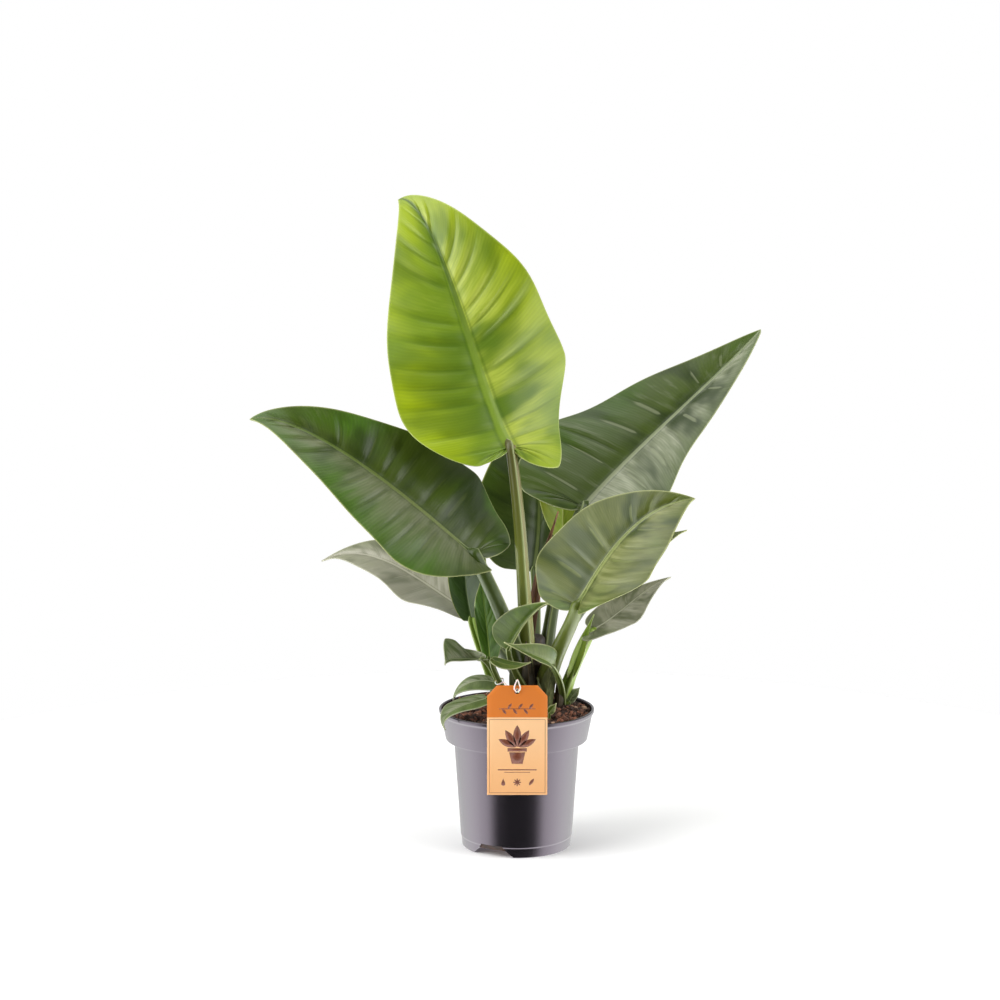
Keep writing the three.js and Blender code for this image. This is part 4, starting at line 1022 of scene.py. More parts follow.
def sun_print(name, x, z, size):
    """A sun: a ring whose radius swings eight times round."""
    t = np.linspace(0, 2 * np.pi, 96, endpoint=False)
    radius = (0.72 + 0.28 * np.cos(8 * t))[:, None]
    outline = radius * np.column_stack([np.cos(t), np.sin(t)])
    return flat_print(name, outline * size + np.array([x, z]))


def tag_prints():
    """The tag's pictures: a sprig on the head band, a potted plant below, care signs, and a thin frame."""
    marks = [bar_print("print_sprig", 0, 151, 34, 0.6)]
    for i in range(6):
        lean = 38 if i % 2 else 142
        marks.append(leaf_print(f"print_sprig_leaf_{i}", -14 + 5 * i, 151, 6.4, lean))
    for i, lean in enumerate((-64, -32, 0, 32, 64)):
        marks.append(leaf_print(f"print_plant_leaf_{i}", 0.03 * lean, 114.5, 21 - 0.06 * abs(lean), lean))
    marks.append(bar_print("print_pot_rim", 0, 112, 18, 3.2))
    marks.append(bar_print("print_pot", 0, 104.2, 15, 11, 10))
    marks.append(bar_print("print_rule_a", 0, 93, 36, 1))
    marks.append(bar_print("print_rule_b", 0, 90.6, 24, 0.5))
    marks.append(drop_print("print_drop", -13, 81.4, 3.6))
    marks.append(sun_print("print_sun", 0, 81, 3.8))
    marks.append(leaf_print("print_care_leaf", 11, 78, 8, 35))
    low, high = TAG_BOTTOM + FRAME_MARGIN, TAG_BAND_HEIGHT - FRAME_MARGIN
    side = TAG_WIDTH / 2 - FRAME_MARGIN
    level = [(0, z, 2 * side, FRAME_LINE) for z in (low, high)]
    upright = [(x, (low + high) / 2, FRAME_LINE, high - low) for x in (-side, side)]
    for i, bar in enumerate(level + upright):
        marks.append(bar_print(f"print_frame_{i}", *bar))
    return marks


def smooth_through(points, count):
    """Smooth curve through points (Catmull-Rom): each span bends by its neighbours' positions."""
    p = np.asarray(points, float)
    p = np.concatenate([2 * p[:1] - p[1:2], p, 2 * p[-1:] - p[-2:-1]])
    spans = len(p) - 3
    t = np.linspace(0, spans, count)
    i = np.minimum(t.astype(int), spans - 1)
    s = (t - i)[:, None]
    a, b, c, d = p[i], p[i + 1], p[i + 2], p[i + 3]
    return 0.5 * (2 * b + (c - a) * s + (2 * a - 5 * b + 4 * c - d) * s**2 + (3 * b - a - 3 * c + d) * s**3)


def loop_part(name, points):
    """Round cord along points. Its rings start in a direction that none of the loop's routes takes."""
    angle = np.linspace(0, 2 * np.pi, 14, endpoint=False)
    towards = unit(np.array([0.31, 0.2, 0.93]))
    grid = sweep_grid(points, np.full(len(points), LOOP_RADIUS), angle, np.ones(len(angle)), towards)
    return grid_object(name, [dict(points=grid)], around=True, caps=True)


def tag_loop_pieces():
    """Loop: an eye through the tag's hole and over its top edge, a knot behind it, and a cord back to a ring
    round a young leaf's stalk."""
    leaf = YOUNG_LEAVES[1]
    stalk = Path([*leaf["stalk"]["route"], leaf["midrib"][0]])
    held = stalk.at(LOOP_STALK_SHARE * stalk.length)
    along = stalk.tangent(LOOP_STALK_SHARE * stalk.length)
    behind = TAG_FRONT_Y + TAG_THICKNESS + 2.4
    face = TAG_FRONT_Y - LOOP_RADIUS - 0.5
    hole = TAG_HOLE_HEIGHT
    eye = smooth_through([
        (-0.9, behind, hole), (-1, TAG_FRONT_Y + 0.4, hole - 0.2), (-1.2, face, hole),
        (-2.8, face - 0.2, hole + 3.2), (-1.8, face, TAG_TOP + 1.6), (0, face + 0.4, TAG_TOP + 5.4),
        (1.8, face, TAG_TOP + 1.6), (2.8, face - 0.2, hole + 3.2), (1.2, face, hole),
        (1, TAG_FRONT_Y + 0.4, hole - 0.2), (0.9, behind, hole),
    ], 120)
    knot = np.array([0, behind, hole + 0.4])
    cord = cubic([knot, (-2, behind + 14, hole - 3), held + (10, -22, -2), held + (3.6, -2.2, 0)],
                 np.linspace(0, 1, 60))
    side = unit(np.cross(along, [0, 0, 1.0]))
    up = np.cross(side, along)
    turn = np.linspace(0, 2 * np.pi, 49)[:, None]
    ring = held + LOOP_RING_RADIUS * (np.cos(turn) * side + np.sin(turn) * up)
    wind = np.linspace(0, 6 * np.pi, 80)
    tie = knot + LOOP_KNOT_RADIUS * np.stack([np.cos(wind), np.sin(2 * wind / 3), np.sin(wind)], -1)
    routes = {"loop_eye": eye, "loop_cord": cord, "loop_knot": tie, "loop_ring": ring}
    return [loop_part(name, route) for name, route in routes.items()]


# Materials

SHADER_SOCKETS = {
    "roughness": "Roughness", "specular": "Specular IOR Level", "tint": "Specular Tint",
    "subsurface": "Subsurface Weight", "subsurface_scale": "Subsurface Scale",
}


class Nodes:
    """Short ways to add shader nodes to a tree and to link them."""

    def __init__(self, tree):
        self.tree = tree

    def add(self, kind, **settings):
        """A new node with its settings."""
        node = self.tree.nodes.new(kind)
        for key, value in settings.items():
            setattr(node, key, value)
        return node

    def put(self, value, socket):
        """Links an output to a socket, or sets the socket to a constant."""
        if isinstance(value, bpy.types.NodeSocket):
            self.tree.links.new(value, socket)
        else:
            socket.default_value = value

    def math(self, operation, *values):
        """One step of arithmetic with one value or two."""
        node = self.add("ShaderNodeMath", operation=operation)
        for value, socket in zip(values, node.inputs):
            self.put(value, socket)
        return node.outputs[0]

    def times(self, a, b):
        """Product of two values."""
        return self.math("MULTIPLY", a, b)

    def plus(self, a, b):
        """Sum of two values."""
        return self.math("ADD", a, b)

    def minus(self, a, b):
        """The first value less the second."""
        return self.math("SUBTRACT", a, b)

    def mix(self, share, a, b):
        """Colour a with a share of colour b over it."""
        node = self.add("ShaderNodeMix", data_type="RGBA")
        self.put(share, node.inputs[0])
        self.put(a, node.inputs[6])
        self.put(b, node.inputs[7])
        return node.outputs[2]

    def noise(self, scale, detail, rough, vector, distortion=0.0):
        """Value of a noise texture at a place."""
        node = self.add("ShaderNodeTexNoise")
        self.put(scale, node.inputs["Scale"])
        self.put(detail, node.inputs["Detail"])
        self.put(rough, node.inputs["Roughness"])
        self.put(distortion, node.inputs["Distortion"])
        self.put(vector, node.inputs["Vector"])
        return node.outputs["Fac"]

    def streak_noise(self, course, column, seed, along, across, detail):
        """Noise drawn out along the side veins' course, different for each seed."""
        vector = self.vector(self.times(course, along), self.times(column, across), seed)
        return self.noise(1.0, detail, 0.6, vector)

    def vector(self, x, y, z=0.0):
        """A vector from its three parts."""
        node = self.add("ShaderNodeCombineXYZ")
        for value, socket in zip((x, y, z), node.inputs):
            self.put(value, socket)
        return node.outputs[0]

    def parts(self, vector):
        """The three parts of a vector."""
        node = self.add("ShaderNodeSeparateXYZ")
        self.put(vector, node.inputs[0])
        return node.outputs

    def uv(self):
        """Row and column of a place on a leaf or a stalk."""
        return self.parts(self.add("ShaderNodeUVMap", uv_map="leaf").outputs[0])[:2]

    def attribute(self, name):
        """One of the masks that the meshes carry."""
        return self.add("ShaderNodeAttribute", attribute_name=name).outputs["Fac"]

    def place(self):
        """Place on the object itself, in metres."""
        return self.add("ShaderNodeTexCoord").outputs["Object"]

    def ramp(self, value, low, high):
        """Smooth step from 0 at the low value to 1 at the high one."""
        node = self.add("ShaderNodeMapRange", interpolation_type="SMOOTHSTEP")
        self.put(value, node.inputs[0])
        self.put(low, node.inputs[1])
        self.put(high, node.inputs[2])
        return node.outputs[0]

    def bump(self, shader, height, strength, distance):
        """Tilts a shader's normal by a height, whose unit stands for a distance in metres."""
        node = self.add("ShaderNodeBump")
        self.put(strength, node.inputs["Strength"])
        self.put(distance, node.inputs["Distance"])
        self.put(height, node.inputs["Height"])
        self.put(node.outputs[0], shader.inputs["Normal"])


def new_material(name, **constants):
    """A material, the maker of its nodes and its shader, with constants on the shader's own sockets."""
    material = bpy.data.materials.new(name)
    material.use_nodes = True
    shader = material.node_tree.nodes["Principled BSDF"]
    for key, value in constants.items():
        shader.inputs[SHADER_SOCKETS[key]].default_value = value
    return material, Nodes(material.node_tree), shader


def new_group(name, inputs, outputs):
    """Node group with named colour and number sockets."""
    tree = bpy.data.node_groups.new(name, "ShaderNodeTree")
    for key, value in inputs.items():
        kind = "NodeSocketColor" if isinstance(value, tuple) else "NodeSocketFloat"
        socket = tree.interface.new_socket(name=key, in_out="INPUT", socket_type=kind)
        socket.default_value = value
    for key, kind in outputs.items():
        tree.interface.new_socket(name=key, in_out="OUTPUT", socket_type=kind)
    make = Nodes(tree)
    return tree, make, make.add("NodeGroupInput").outputs, make.add("NodeGroupOutput").inputs


LEAF_COLORS = ("Blade", "Patch", "Shade", "Sheen", "Rib", "Rib Tip", "Edge", "Under")


def leaf_pattern_group():
    """Leaf colours: a mottled blade with streaks that follow the side veins' course, painted shade in the
    pleat valleys, a paler midrib between lines of painted shade, a bright hair line at the edge, and a duller
    under side. Thin streaks of painted sheen lie over it, and one half carries more painted sheen: the right
    one, or the left one where Right Sheen is negative."""
    tree, make, given, out = new_group(
        "leaf_pattern",
        {**{key: (0.1, 0.2, 0.05, 1) for key in LEAF_COLORS}, "Patch Size": 14.0, "Patch Share": 0.5,
         "Streaks": 0.5, "Right Sheen": 0.2, "Vein Lines": 0.2, "Seed": 0.0},
        {"Color": "NodeSocketColor", "Height": "NodeSocketFloat", "Gloss": "NodeSocketFloat"},
    )
    place = make.place()
    row, column = make.uv()
    out_part = make.times(make.math("ABSOLUTE", make.minus(column, 0.5)), 2.0)
    side_sheen = make.times(make.minus(column, 0.5), given["Right Sheen"])
    sheen_side = make.math("GREATER_THAN", side_sheen, 0.0)

    # waves and streaks along the side veins' course, calm at the tip
    wobble = make.times(make.noise(35.0, 2.0, 0.5, place), 0.012)
    course = make.plus(row, wobble)
    hairs = make.math("SINE", make.times(course, 800.0))
    finer = make.math("SINE", make.times(course, 1930.0))
    broad = make.streak_noise(course, column, given["Seed"], 9.0, 1.5, 2.0)
    narrow = make.streak_noise(course, column, given["Seed"], 50.0, 2.5, 3.0)
    calm = make.ramp(row, 1.0, 0.75)
    streaks = make.times(given["Streaks"], calm)

    # brighter patches, dark streaks, and thin streaks of painted sheen
    slow = make.noise(given["Patch Size"], 2.0, 0.5, place, 0.5)
    patches = make.ramp(slow, make.minus(0.95, given["Patch Share"]), make.minus(1.25, given["Patch Share"]))
    patches = make.times(patches, make.ramp(out_part, 0.1, 0.75))
    color = make.mix(patches, given["Blade"], given["Patch"])
    dark = make.times(make.ramp(broad, 0.45, 0.65), streaks)
    color = make.mix(dark, color, given["Shade"])
    light = make.times(make.ramp(narrow, 0.48, 0.72), make.times(streaks, 0.3))
    light = make.times(light, make.ramp(broad, 0.6, 0.35))
    color = make.mix(light, color, given["Sheen"])

    # painted sheen on one half, broken up by the streaks
    painted_half_sheen = make.times(sheen_side, make.math("ABSOLUTE", given["Right Sheen"]))
    painted_half_sheen = make.times(painted_half_sheen, make.ramp(out_part, 1.2, 0.1))
    grain = make.plus(make.times(make.ramp(narrow, 0.36, 0.6), 0.45), 0.55)
    painted_half_sheen = make.times(make.times(painted_half_sheen, grain), make.ramp(broad, 0.68, 0.42))
    color = make.mix(painted_half_sheen, color, given["Sheen"])
    lines = make.times(make.plus(hairs, 1.0), make.times(streaks, 0.1))
    color = make.mix(lines, color, given["Shade"])

    # painted shade in the valleys of the pleats, with a pale line at the bottom of each
    pleat = make.attribute("pleat")
    valley = make.times(make.ramp(pleat, 0.0, -0.9), make.times(calm, 0.35))
    color = make.mix(valley, color, given["Shade"])
    vein = make.times(make.ramp(pleat, -0.72, -0.95), make.times(given["Vein Lines"], calm))
    color = make.mix(vein, color, given["Rib"])

    # under side, midrib with lines of painted shade beside it, and edge
    under = make.mix(make.times(make.ramp(narrow, 0.4, 0.7), 0.3), given["Under"], given["Shade"])
    color = make.mix(make.attribute("under"), color, under)
    rib = make.attribute("rib")
    # painted shade in the trough on each side of the midrib
    beside = make.minus(make.ramp(rib, 0.0, 0.12), make.ramp(rib, 0.15, 0.45))
    color = make.mix(make.times(beside, 0.4), color, given["Shade"])
    middle = make.mix(make.ramp(make.attribute("along"), 0.15, 0.75), given["Rib"], given["Rib Tip"])
    color = make.mix(make.times(make.ramp(rib, 0.25, 0.7), 0.9), color, middle)
    color = make.mix(make.times(make.attribute("edge"), 0.75), color, given["Edge"])
    make.put(color, out["Color"])

    relief = make.plus(make.times(hairs, 0.1), make.times(finer, 0.04))
    relief = make.plus(relief, make.times(narrow, 1.5))
    relief = make.plus(relief, make.noise(45.0, 1.0, 0.5, place))
    make.put(relief, out["Height"])
    gloss = make.plus(make.times(make.noise(55.0, 3.0, 0.6, place), 0.16), 0.24)
    gloss = make.plus(gloss, make.times(narrow, 0.1))
    make.put(make.plus(gloss, make.times(make.attribute("under"), 0.2)), out["Gloss"])
    return tree


def leaf_look(*colors, **numbers):
    """The leaf pattern's inputs for one look: its eight colours in order, and the numbers it changes."""
    inputs = {key: (*color, 1) for key, color in zip(LEAF_COLORS, colors)}
    inputs.update({key.replace("_", " ").title(): number for key, number in numbers.items()})
    return inputs


# Colours in order: Blade, Patch, Shade, Sheen, Rib, Rib Tip, Edge, Under. Sheen is the colour of painted
# sheen, in thin streaks and over one half by right_sheen. Shade colours the dark streaks and fine lines, and
# also the painted shade in the pleat valleys and beside the midrib.
LEAF_LOOKS = {
    "tall": leaf_look(
        (0.135, 0.22, 0.009), (0.28, 0.37, 0.003), (0.045, 0.1, 0.004), (0.4, 0.47, 0.06),
        (0.17, 0.26, 0.025), (0.06, 0.11, 0.012), (0.5, 0.56, 0.2), (0.3, 0.4, 0.05),
        patch_size=11.0, patch_share=0.62, streaks=0.55, right_sheen=0.95, vein_lines=0.0, seed=1.3,
    ),
    "left": leaf_look(
        (0.044, 0.07, 0.005), (0.045, 0.115, 0.002), (0.016, 0.032, 0.001), (0.145, 0.16, 0.085),
        (0.13, 0.165, 0.04), (0.08, 0.12, 0.02), (0.4, 0.43, 0.18), (0.16, 0.21, 0.06),
        patch_size=10.0, patch_share=0.58, streaks=0.75, right_sheen=-0.85, vein_lines=0.2, seed=4.1,
    ),
    "right": leaf_look(
        (0.055, 0.085, 0.011), (0.05, 0.11, 0.004), (0.014, 0.028, 0.002), (0.36, 0.38, 0.27),
        (0.24, 0.27, 0.15), (0.2, 0.24, 0.12), (0.4, 0.43, 0.2), (0.18, 0.22, 0.08),
        patch_size=11.0, patch_share=0.5, streaks=0.75, right_sheen=0.95, vein_lines=0.5, seed=7.7,
    ),
    "front": leaf_look(
        (0.08, 0.1, 0.01), (0.06, 0.12, 0.004), (0.018, 0.036, 0.002), (0.28, 0.3, 0.12),
        (0.23, 0.27, 0.08), (0.2, 0.24, 0.07), (0.45, 0.48, 0.2), (0.24, 0.29, 0.08),
        patch_size=14.0, patch_share=0.5, streaks=0.7, right_sheen=0.8, vein_lines=0.3, seed=2.9,
    ),
    "back": leaf_look(
        (0.036, 0.06, 0.006), (0.04, 0.085, 0.003), (0.012, 0.024, 0.002), (0.12, 0.14, 0.045),
        (0.1, 0.13, 0.03), (0.06, 0.09, 0.015), (0.36, 0.39, 0.13), (0.12, 0.155, 0.04),
        streaks=0.6, right_sheen=0.1, seed=3.3,
    ),
    "lime": leaf_look(
        (0.245, 0.331, 0.028), (0.347, 0.405, 0.022), (0.122, 0.184, 0.011), (0.428, 0.46, 0.11),
        (0.367, 0.423, 0.083), (0.204, 0.276, 0.033), (0.51, 0.552, 0.165), (0.306, 0.386, 0.055),
        streaks=0.4, seed=5.2,
    ),
    "low_left": leaf_look(
        (0.24, 0.235, 0.17), (0.16, 0.18, 0.08), (0.08, 0.09, 0.04), (0.5, 0.48, 0.4),
        (0.4, 0.39, 0.3), (0.36, 0.35, 0.27), (0.5, 0.5, 0.37), (0.3, 0.31, 0.2),
        streaks=0.75, right_sheen=0.75, vein_lines=0.3, seed=6.4,
    ),
    "low_right": leaf_look(
        (0.22, 0.22, 0.15), (0.14, 0.175, 0.065), (0.075, 0.09, 0.038), (0.48, 0.465, 0.38),
        (0.38, 0.38, 0.28), (0.36, 0.36, 0.26), (0.5, 0.5, 0.37), (0.3, 0.31, 0.2),
        streaks=0.75, right_sheen=0.6, vein_lines=0.3, seed=8.6,
    ),
    "low_back": leaf_look(
        (0.075, 0.1, 0.015), (0.06, 0.11, 0.006), (0.024, 0.043, 0.004), (0.25, 0.27, 0.09),
        (0.2, 0.24, 0.055), (0.15, 0.18, 0.04), (0.41, 0.44, 0.14), (0.18, 0.22, 0.065),
        streaks=0.6, seed=9.1,
    ),
    # The shade leaf's colours are a darker copy of the dark leaves' green: painted shade for the left leaf's
    # shadow over it.
    "shade": leaf_look(
        (0.022, 0.051, 0.006), (0.031, 0.069, 0.004), (0.01, 0.024, 0.003), (0.061, 0.092, 0.017),
        (0.061, 0.101, 0.017), (0.041, 0.074, 0.011), (0.408, 0.432, 0.121), (0.102, 0.147, 0.028),
        streaks=0.4, seed=1.9,
    ),
    "upright": leaf_look(
        (0.06, 0.14, 0.01), (0.1, 0.22, 0.01), (0.025, 0.06, 0.004), (0.2, 0.28, 0.07),
        (0.18, 0.27, 0.05), (0.14, 0.22, 0.03), (0.5, 0.54, 0.24), (0.2, 0.28, 0.06),
        streaks=0.5, seed=2.2,
    ),
    "young": leaf_look(
        (0.065, 0.11, 0.007), (0.085, 0.17, 0.005), (0.02, 0.04, 0.003), (0.22, 0.25, 0.07),
        (0.17, 0.22, 0.05), (0.13, 0.18, 0.035), (0.55, 0.57, 0.28), (0.28, 0.31, 0.15),
        streaks=0.35, right_sheen=0.45, seed=3.8,
    ),
    "pale": leaf_look(
        (0.11, 0.15, 0.045), (0.09, 0.15, 0.02), (0.035, 0.06, 0.012), (0.4, 0.41, 0.3),
        (0.26, 0.3, 0.16), (0.22, 0.26, 0.12), (0.52, 0.54, 0.36), (0.5, 0.5, 0.45),
        streaks=0.4, right_sheen=0.6, seed=4.9,
    ),
}


def leaf_material(look, group):
    """Leaf skin: the pattern's colours under a satin, waxy surface."""
    material, make, shader = new_material(f"leaf_{look}", specular=0.35)
    pattern = make.add("ShaderNodeGroup", node_tree=group)
    for key, value in LEAF_LOOKS[look].items():
        pattern.inputs[key].default_value = value
    make.put(pattern.outputs["Color"], shader.inputs["Base Color"])
    make.put(pattern.outputs["Gloss"], shader.inputs["Roughness"])
    make.bump(shader, pattern.outputs["Height"], 0.5, 0.0003)
    return material


STALK_LOOKS = {
    "olive": dict(low=(0.19, 0.24, 0.03), high=(0.055, 0.045, 0.01), groove=(0.3, 0.25, 0.09)),
    "deep": dict(low=(0.04, 0.06, 0.005), high=(0.036, 0.065, 0.004), groove=(0.08, 0.11, 0.02)),
    "fresh": dict(low=(0.075, 0.095, 0.015), high=(0.11, 0.15, 0.02), groove=(0.05, 0.08, 0.01)),
    "bright": dict(low=(0.26, 0.37, 0.05), high=(0.22, 0.33, 0.035), groove=(0.17, 0.28, 0.03)),
}


def stalk_material(look):
    """Stalk: colour drifts from foot to top, with fine lengthwise streaks and pale wings."""
    material, make, shader = new_material(f"stalk_{look}", roughness=0.36, specular=0.35)
    colors = {key: (*value, 1) for key, value in STALK_LOOKS[look].items()}
    row, column = make.uv()
    streaks = make.noise(1.0, 4.0, 0.6, make.vector(make.times(row, 2.5), make.times(column, 40.0)))
    color = make.mix(make.attribute("along"), colors["low"], colors["high"])
    color = make.mix(make.times(make.attribute("rib"), 0.8), color, colors["groove"])
    color = make.mix(make.times(make.ramp(streaks, 0.4, 0.75), 0.35), color, (0.05, 0.06, 0.02, 1))
    color = make.mix(make.times(make.attribute("edge"), 0.75), color, (0.4, 0.46, 0.22, 1))
    foot = make.ramp(make.attribute("along"), 0.12, 0.0)
    color = make.mix(make.times(foot, 0.6), color, (0.09, 0.055, 0.03, 1))
    make.put(color, shader.inputs["Base Color"])
    make.bump(shader, streaks, 0.3, 0.0004)
    return material


def bark_material(name, dark, light):
    """Bark and dry tissue: dark with lighter lengthwise fibres and pale ring scars."""
    material, make, shader = new_material(name, roughness=0.7)
    place = make.place()
    fibre = make.add("ShaderNodeMapping")
    make.put(place, fibre.inputs["Vector"])
    fibre.inputs["Scale"].default_value = (260, 260, 30)
    streaks = make.noise(1.0, 5.0, 0.65, fibre.outputs[0])
    blotches = make.noise(90.0, 3.0, 0.6, place)
    color = make.mix(make.ramp(streaks, 0.45, 0.75), dark, light)
    color = make.mix(make.times(make.ramp(blotches, 0.4, 0.7), 0.5), color, dark)
    color = make.mix(make.times(make.attribute("rib"), 0.35), color, light)
    make.put(color, shader.inputs["Base Color"])
    make.bump(shader, streaks, 0.6, 0.0008)
    return material


def soil_material():
    """Damp peat: near black brown with reddish fibres and a few pale grains."""
    material, make, shader = new_material("soil_peat", roughness=0.85)
    place = make.place()
    grain = make.noise(700.0, 4.0, 0.7, place)
    clumps = make.noise(170.0, 3.0, 0.6, place)
    color = make.mix(make.ramp(clumps, 0.35, 0.7), (0.012, 0.006, 0.004, 1), (0.045, 0.018, 0.011, 1))
    color = make.mix(make.ramp(grain, 0.55, 0.72), color, (0.13, 0.055, 0.032, 1))
    make.put(color, shader.inputs["Base Color"])
    make.bump(shader, grain, 0.8, 0.0008)
    return material


def crumb_material():
    """Crumbs: each lump has its own shade between black peat, red-brown bark and pale grit."""
    material, make, shader = new_material("soil_crumb", roughness=0.75)
    shade = make.attribute("along")
    grain = make.noise(900.0, 3.0, 0.6, make.place())
    color = make.mix(make.ramp(shade, 0.35, 0.9), (0.035, 0.014, 0.008, 1), (0.27, 0.1, 0.05, 1))
    color = make.mix(make.ramp(shade, 0.93, 0.97), color, (0.42, 0.26, 0.17, 1))
    color = make.mix(make.times(grain, 0.45), color, (0.05, 0.018, 0.01, 1))
    make.put(color, shader.inputs["Base Color"])
    make.bump(shader, grain, 0.6, 0.0004)
    return material


def pot_material():
    """Charcoal plastic with a satin skin and the faintest cloudiness."""
    material, make, shader = new_material("pot_plastic", specular=0.5, tint=(0.97, 0.84, 1, 1))
    place = make.place()
    cloud = make.noise(16.0, 3.0, 0.5, place)
    color = make.mix(cloud, (0.0055, 0.005, 0.006, 1), (0.009, 0.008, 0.01, 1))
    make.put(color, shader.inputs["Base Color"])
    gloss = make.plus(make.times(make.noise(300.0, 2.0, 0.5, place), 0.06), 0.22)
    make.put(gloss, shader.inputs["Roughness"])
    make.bump(shader, make.noise(220.0, 2.0, 0.5, place), 0.08, 0.0003)
    return material


def tag_material():
    """Coated card: an orange head band over peach, each a little uneven."""
    material, make, shader = new_material("tag_card", roughness=0.42)
    place = make.place()
    height = make.parts(place)[2]
    band = make.math("GREATER_THAN", height, TAG_BAND_HEIGHT * MM)
    fade = make.ramp(height, TAG_BOTTOM * MM, TAG_BAND_HEIGHT * MM)
    peach = make.mix(fade, (0.8, 0.42, 0.17, 1), (0.86, 0.53, 0.27, 1))
    color = make.mix(band, peach, (0.62, 0.165, 0.012, 1))
    color = make.mix(make.times(make.noise(500.0, 3.0, 0.6, place), 0.08), color, (0.5, 0.25, 0.1, 1))
    make.put(color, shader.inputs["Base Color"])
    return material


def print_material():
    """Print: dark red-brown ink, a little worn."""
    material, make, shader = new_material("tag_print", roughness=0.5)
    wear = make.ramp(make.noise(1100.0, 3.0, 0.7, make.place()), 0.35, 0.75)
    color = make.mix(make.times(wear, 0.25), (0.11, 0.018, 0.004, 1), (0.4, 0.16, 0.06, 1))
    make.put(color, shader.inputs["Base Color"])
    return material


def loop_material():
    """Loop: milky soft plastic with a faint warm cloudiness."""
    material, make, shader = new_material(
        "loop_plastic", roughness=0.5, specular=0.2, subsurface=0.4, subsurface_scale=0.002)
    color = make.mix(make.noise(300.0, 2.0, 0.5, make.place()), (0.74, 0.66, 0.6, 1), (0.88, 0.84, 0.8, 1))
    make.put(color, shader.inputs["Base Color"])
    return material


def dress(piece, material, slot, *nodes):
    """Gives a piece its finish and its place on the body, and hides the imported pieces of the nodes it
    stands for.
    """
    piece.data.materials.clear()
    piece.data.materials.append(material)
    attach(piece, "root")
    if nodes:
        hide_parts(*nodes)
    return piece


# Plant

leaf_pattern = leaf_pattern_group()
LEAF_MATERIALS = {look: leaf_material(look, leaf_pattern) for look in LEAF_LOOKS}
STALK_MATERIALS = {look: stalk_material(look) for look in STALK_LOOKS}

for leaf in LEAVES:
    name = leaf["name"]
    large = leaf["left"]["reach"] + leaf["right"]["reach"] > LARGE_SPREAD
    blade = blade_piece(f"{name}_blade", leaf, *(LARGE_GRID if large else MIDDLE_GRID))
    dress(blade, LEAF_MATERIALS[name], leaf["slot"], f"blade_{name}")
    dress(stalk_piece(f"{name}_stalk", leaf), STALK_MATERIALS[leaf["stalk_look"]], "stalk", f"stalk_{name}")
    if "wing" in leaf:
        wing = blade_piece(f"{name}_wing", leaf["wing"], *SCALE_GRID)
        dress(wing, STALK_MATERIALS[leaf["stalk_look"]], "stalk", f"stalk_{name}")

for number, leaf in enumerate(YOUNG_LEAVES, 1):
    leaf.update(wave=(0.5, 2), veins=7, pleat=0.35)
    node = f"young_leaf_{number}"
    blade = blade_piece(f"young_blade_{number}", leaf, *YOUNG_GRID)
    dress(blade, LEAF_MATERIALS[leaf["look"]], "blade_green", node)
    dress(stalk_piece(f"young_stalk_{number}", leaf, young=True), STALK_MATERIALS["fresh"], "stalk", node)

dry = bark_material("dry_tissue", (0.07, 0.025, 0.006, 1), (0.32, 0.15, 0.05, 1))
dress(blade_piece("sheath_dry", SHEATH, *SHEATH_GRID), dry, "dry_sheath", "dry_sheath")
husks = [
    bark_material("husk_green", (0.05, 0.062, 0.012, 1), (0.2, 0.22, 0.07, 1)),
    bark_material("husk_brown", (0.03, 0.024, 0.01, 1), (0.19, 0.13, 0.06, 1)),
]
for number, scale in enumerate(HUSKS, 1):
    side = half(scale["reach"], 0, 0.3, fold=(-28, -34), curl=(-40, -20), lobe_reach=0.8, shoulder=0.6)
    leaf = dict(midrib=scale["midrib"], face=[(0, 12), (0, 8)], left=side, right=side, wave=(0.4, 2),
                veins=5, pleat=0.25)
    dress(blade_piece(f"stem_husk_{number}", leaf, *SCALE_GRID), husks[number % 2], "bark", "stem")
bark = bark_material("stem_bark", (0.012, 0.008, 0.005, 1), (0.1, 0.07, 0.045, 1))
dress(stem_piece("stem_old", STEM, 3), bark, "bark", "stem")
dress(stem_piece("stem_side", SIDE_STEM, 4), bark, "bark", "side_stem")

# Pot, soil, tag

dress(pot_piece(), pot_material(), "pot", "pot")
dress(soil_piece(), soil_material(), "soil", "soil")
dress(crumbs_piece(), crumb_material(), "soil", "soil")
dress(tag_piece(), tag_material(), "tag", "tag")
tag_ink = print_material()
for mark in tag_prints():
    dress(mark, tag_ink, "tag", "tag")
loop_plastic = loop_material()
for part in tag_loop_pieces():
    dress(part, loop_plastic, "tie", "tag_loop")


# Studio

def softbox(name, place, size, power):
    """Flat soft light at a place, turned to face the plant."""
    light = bpy.data.lights.new(name, "AREA")
    light.shape = "RECTANGLE"
    light.size, light.size_y = size
    light.energy = power
    lamp = bpy.data.objects.new(name, light)
    bpy.context.scene.collection.objects.link(lamp)
    lamp.location = place
    aim = np.subtract(LIGHT_TARGET, place)
    lamp.rotation_euler = (np.arctan2(np.hypot(*aim[:2]), -aim[2]), 0, np.arctan2(aim[0], -aim[1]) + np.pi)


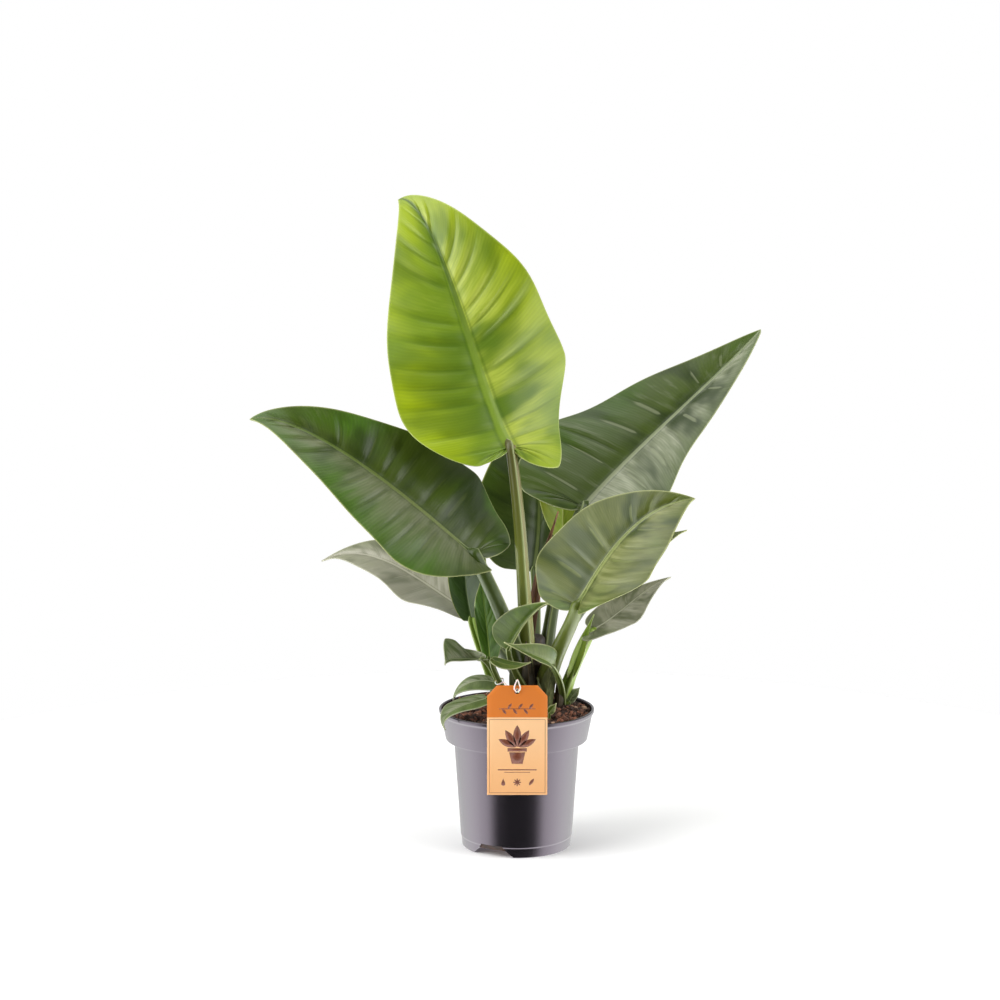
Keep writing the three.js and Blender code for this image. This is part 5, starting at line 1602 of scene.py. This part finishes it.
def floor_piece():
    """Floor: a flat round sheet, wide enough for the plant's shadow, that reflections pass through."""
    turn = np.linspace(0, 2 * np.pi, 96, endpoint=False)
    rings = FLOOR_RADIUS * np.array([0, 0.3, 0.7, 1])[:, None]
    points = np.stack(np.broadcast_arrays(rings * np.cos(turn), rings * np.sin(turn), -FLOOR_DROP), -1)
    sheet = grid_object("floor", [dict(points=points, flip=True)], around=True, shell=False)
    material, make, shader = new_material("floor_paper", roughness=0.9)
    tone = make.mix(make.noise(3.0, 2.0, 0.5, make.place()), (0.9, 0.9, 0.9, 1), (0.95, 0.95, 0.95, 1))
    make.put(tone, shader.inputs["Base Color"])
    sheet.data.materials.append(material)
    sheet.visible_glossy = False
    return sheet


def tent_world():
    """White tent round the plant: the light it gives grows from dark at the front to bright behind. Looked at
    directly it is plain white, and bright panels low at its sides show in reflections alone."""
    world = bpy.data.worlds.new("studio")
    world.use_nodes = True
    make = Nodes(world.node_tree)
    _, depth, height = make.parts(make.add("ShaderNodeTexCoord").outputs["Generated"])
    ray = make.add("ShaderNodeLightPath")
    glow = make.plus(make.times(make.ramp(depth, -0.8, 0.8), TENT_BRIGHT), TENT_DARK)
    panels = make.times(make.ramp(depth, -0.72, -0.4), make.ramp(height, 0.0, -0.12))
    panels = make.times(panels, make.ramp(depth, 1.1, -0.1))
    shine = make.times(make.times(panels, ray.outputs["Is Glossy Ray"]), TENT_SHINE)
    background = world.node_tree.nodes["Background"]
    make.put((1, 1, 1, 1), background.inputs["Color"])
    strength = make.math("MAXIMUM", make.plus(glow, shine), ray.outputs["Is Camera Ray"])
    make.put(strength, background.inputs["Strength"])
    return world


floor = floor_piece()
for box in SOFTBOXES:
    softbox(**box)

scene = bpy.context.scene
scene.world = tent_world()
scene.view_settings.view_transform = "Standard"
camera_data = bpy.data.cameras.new("camera")
camera_data.lens = CAMERA_LENS
camera_data.sensor_width = CAMERA_SENSOR
camera = bpy.data.objects.new("camera", camera_data)
scene.collection.objects.link(camera)
camera.location = np.array(CAMERA_PLACE) * MM
camera.rotation_euler = (np.radians(90 - CAMERA_DOWN), 0, 0)
scene.camera = camera
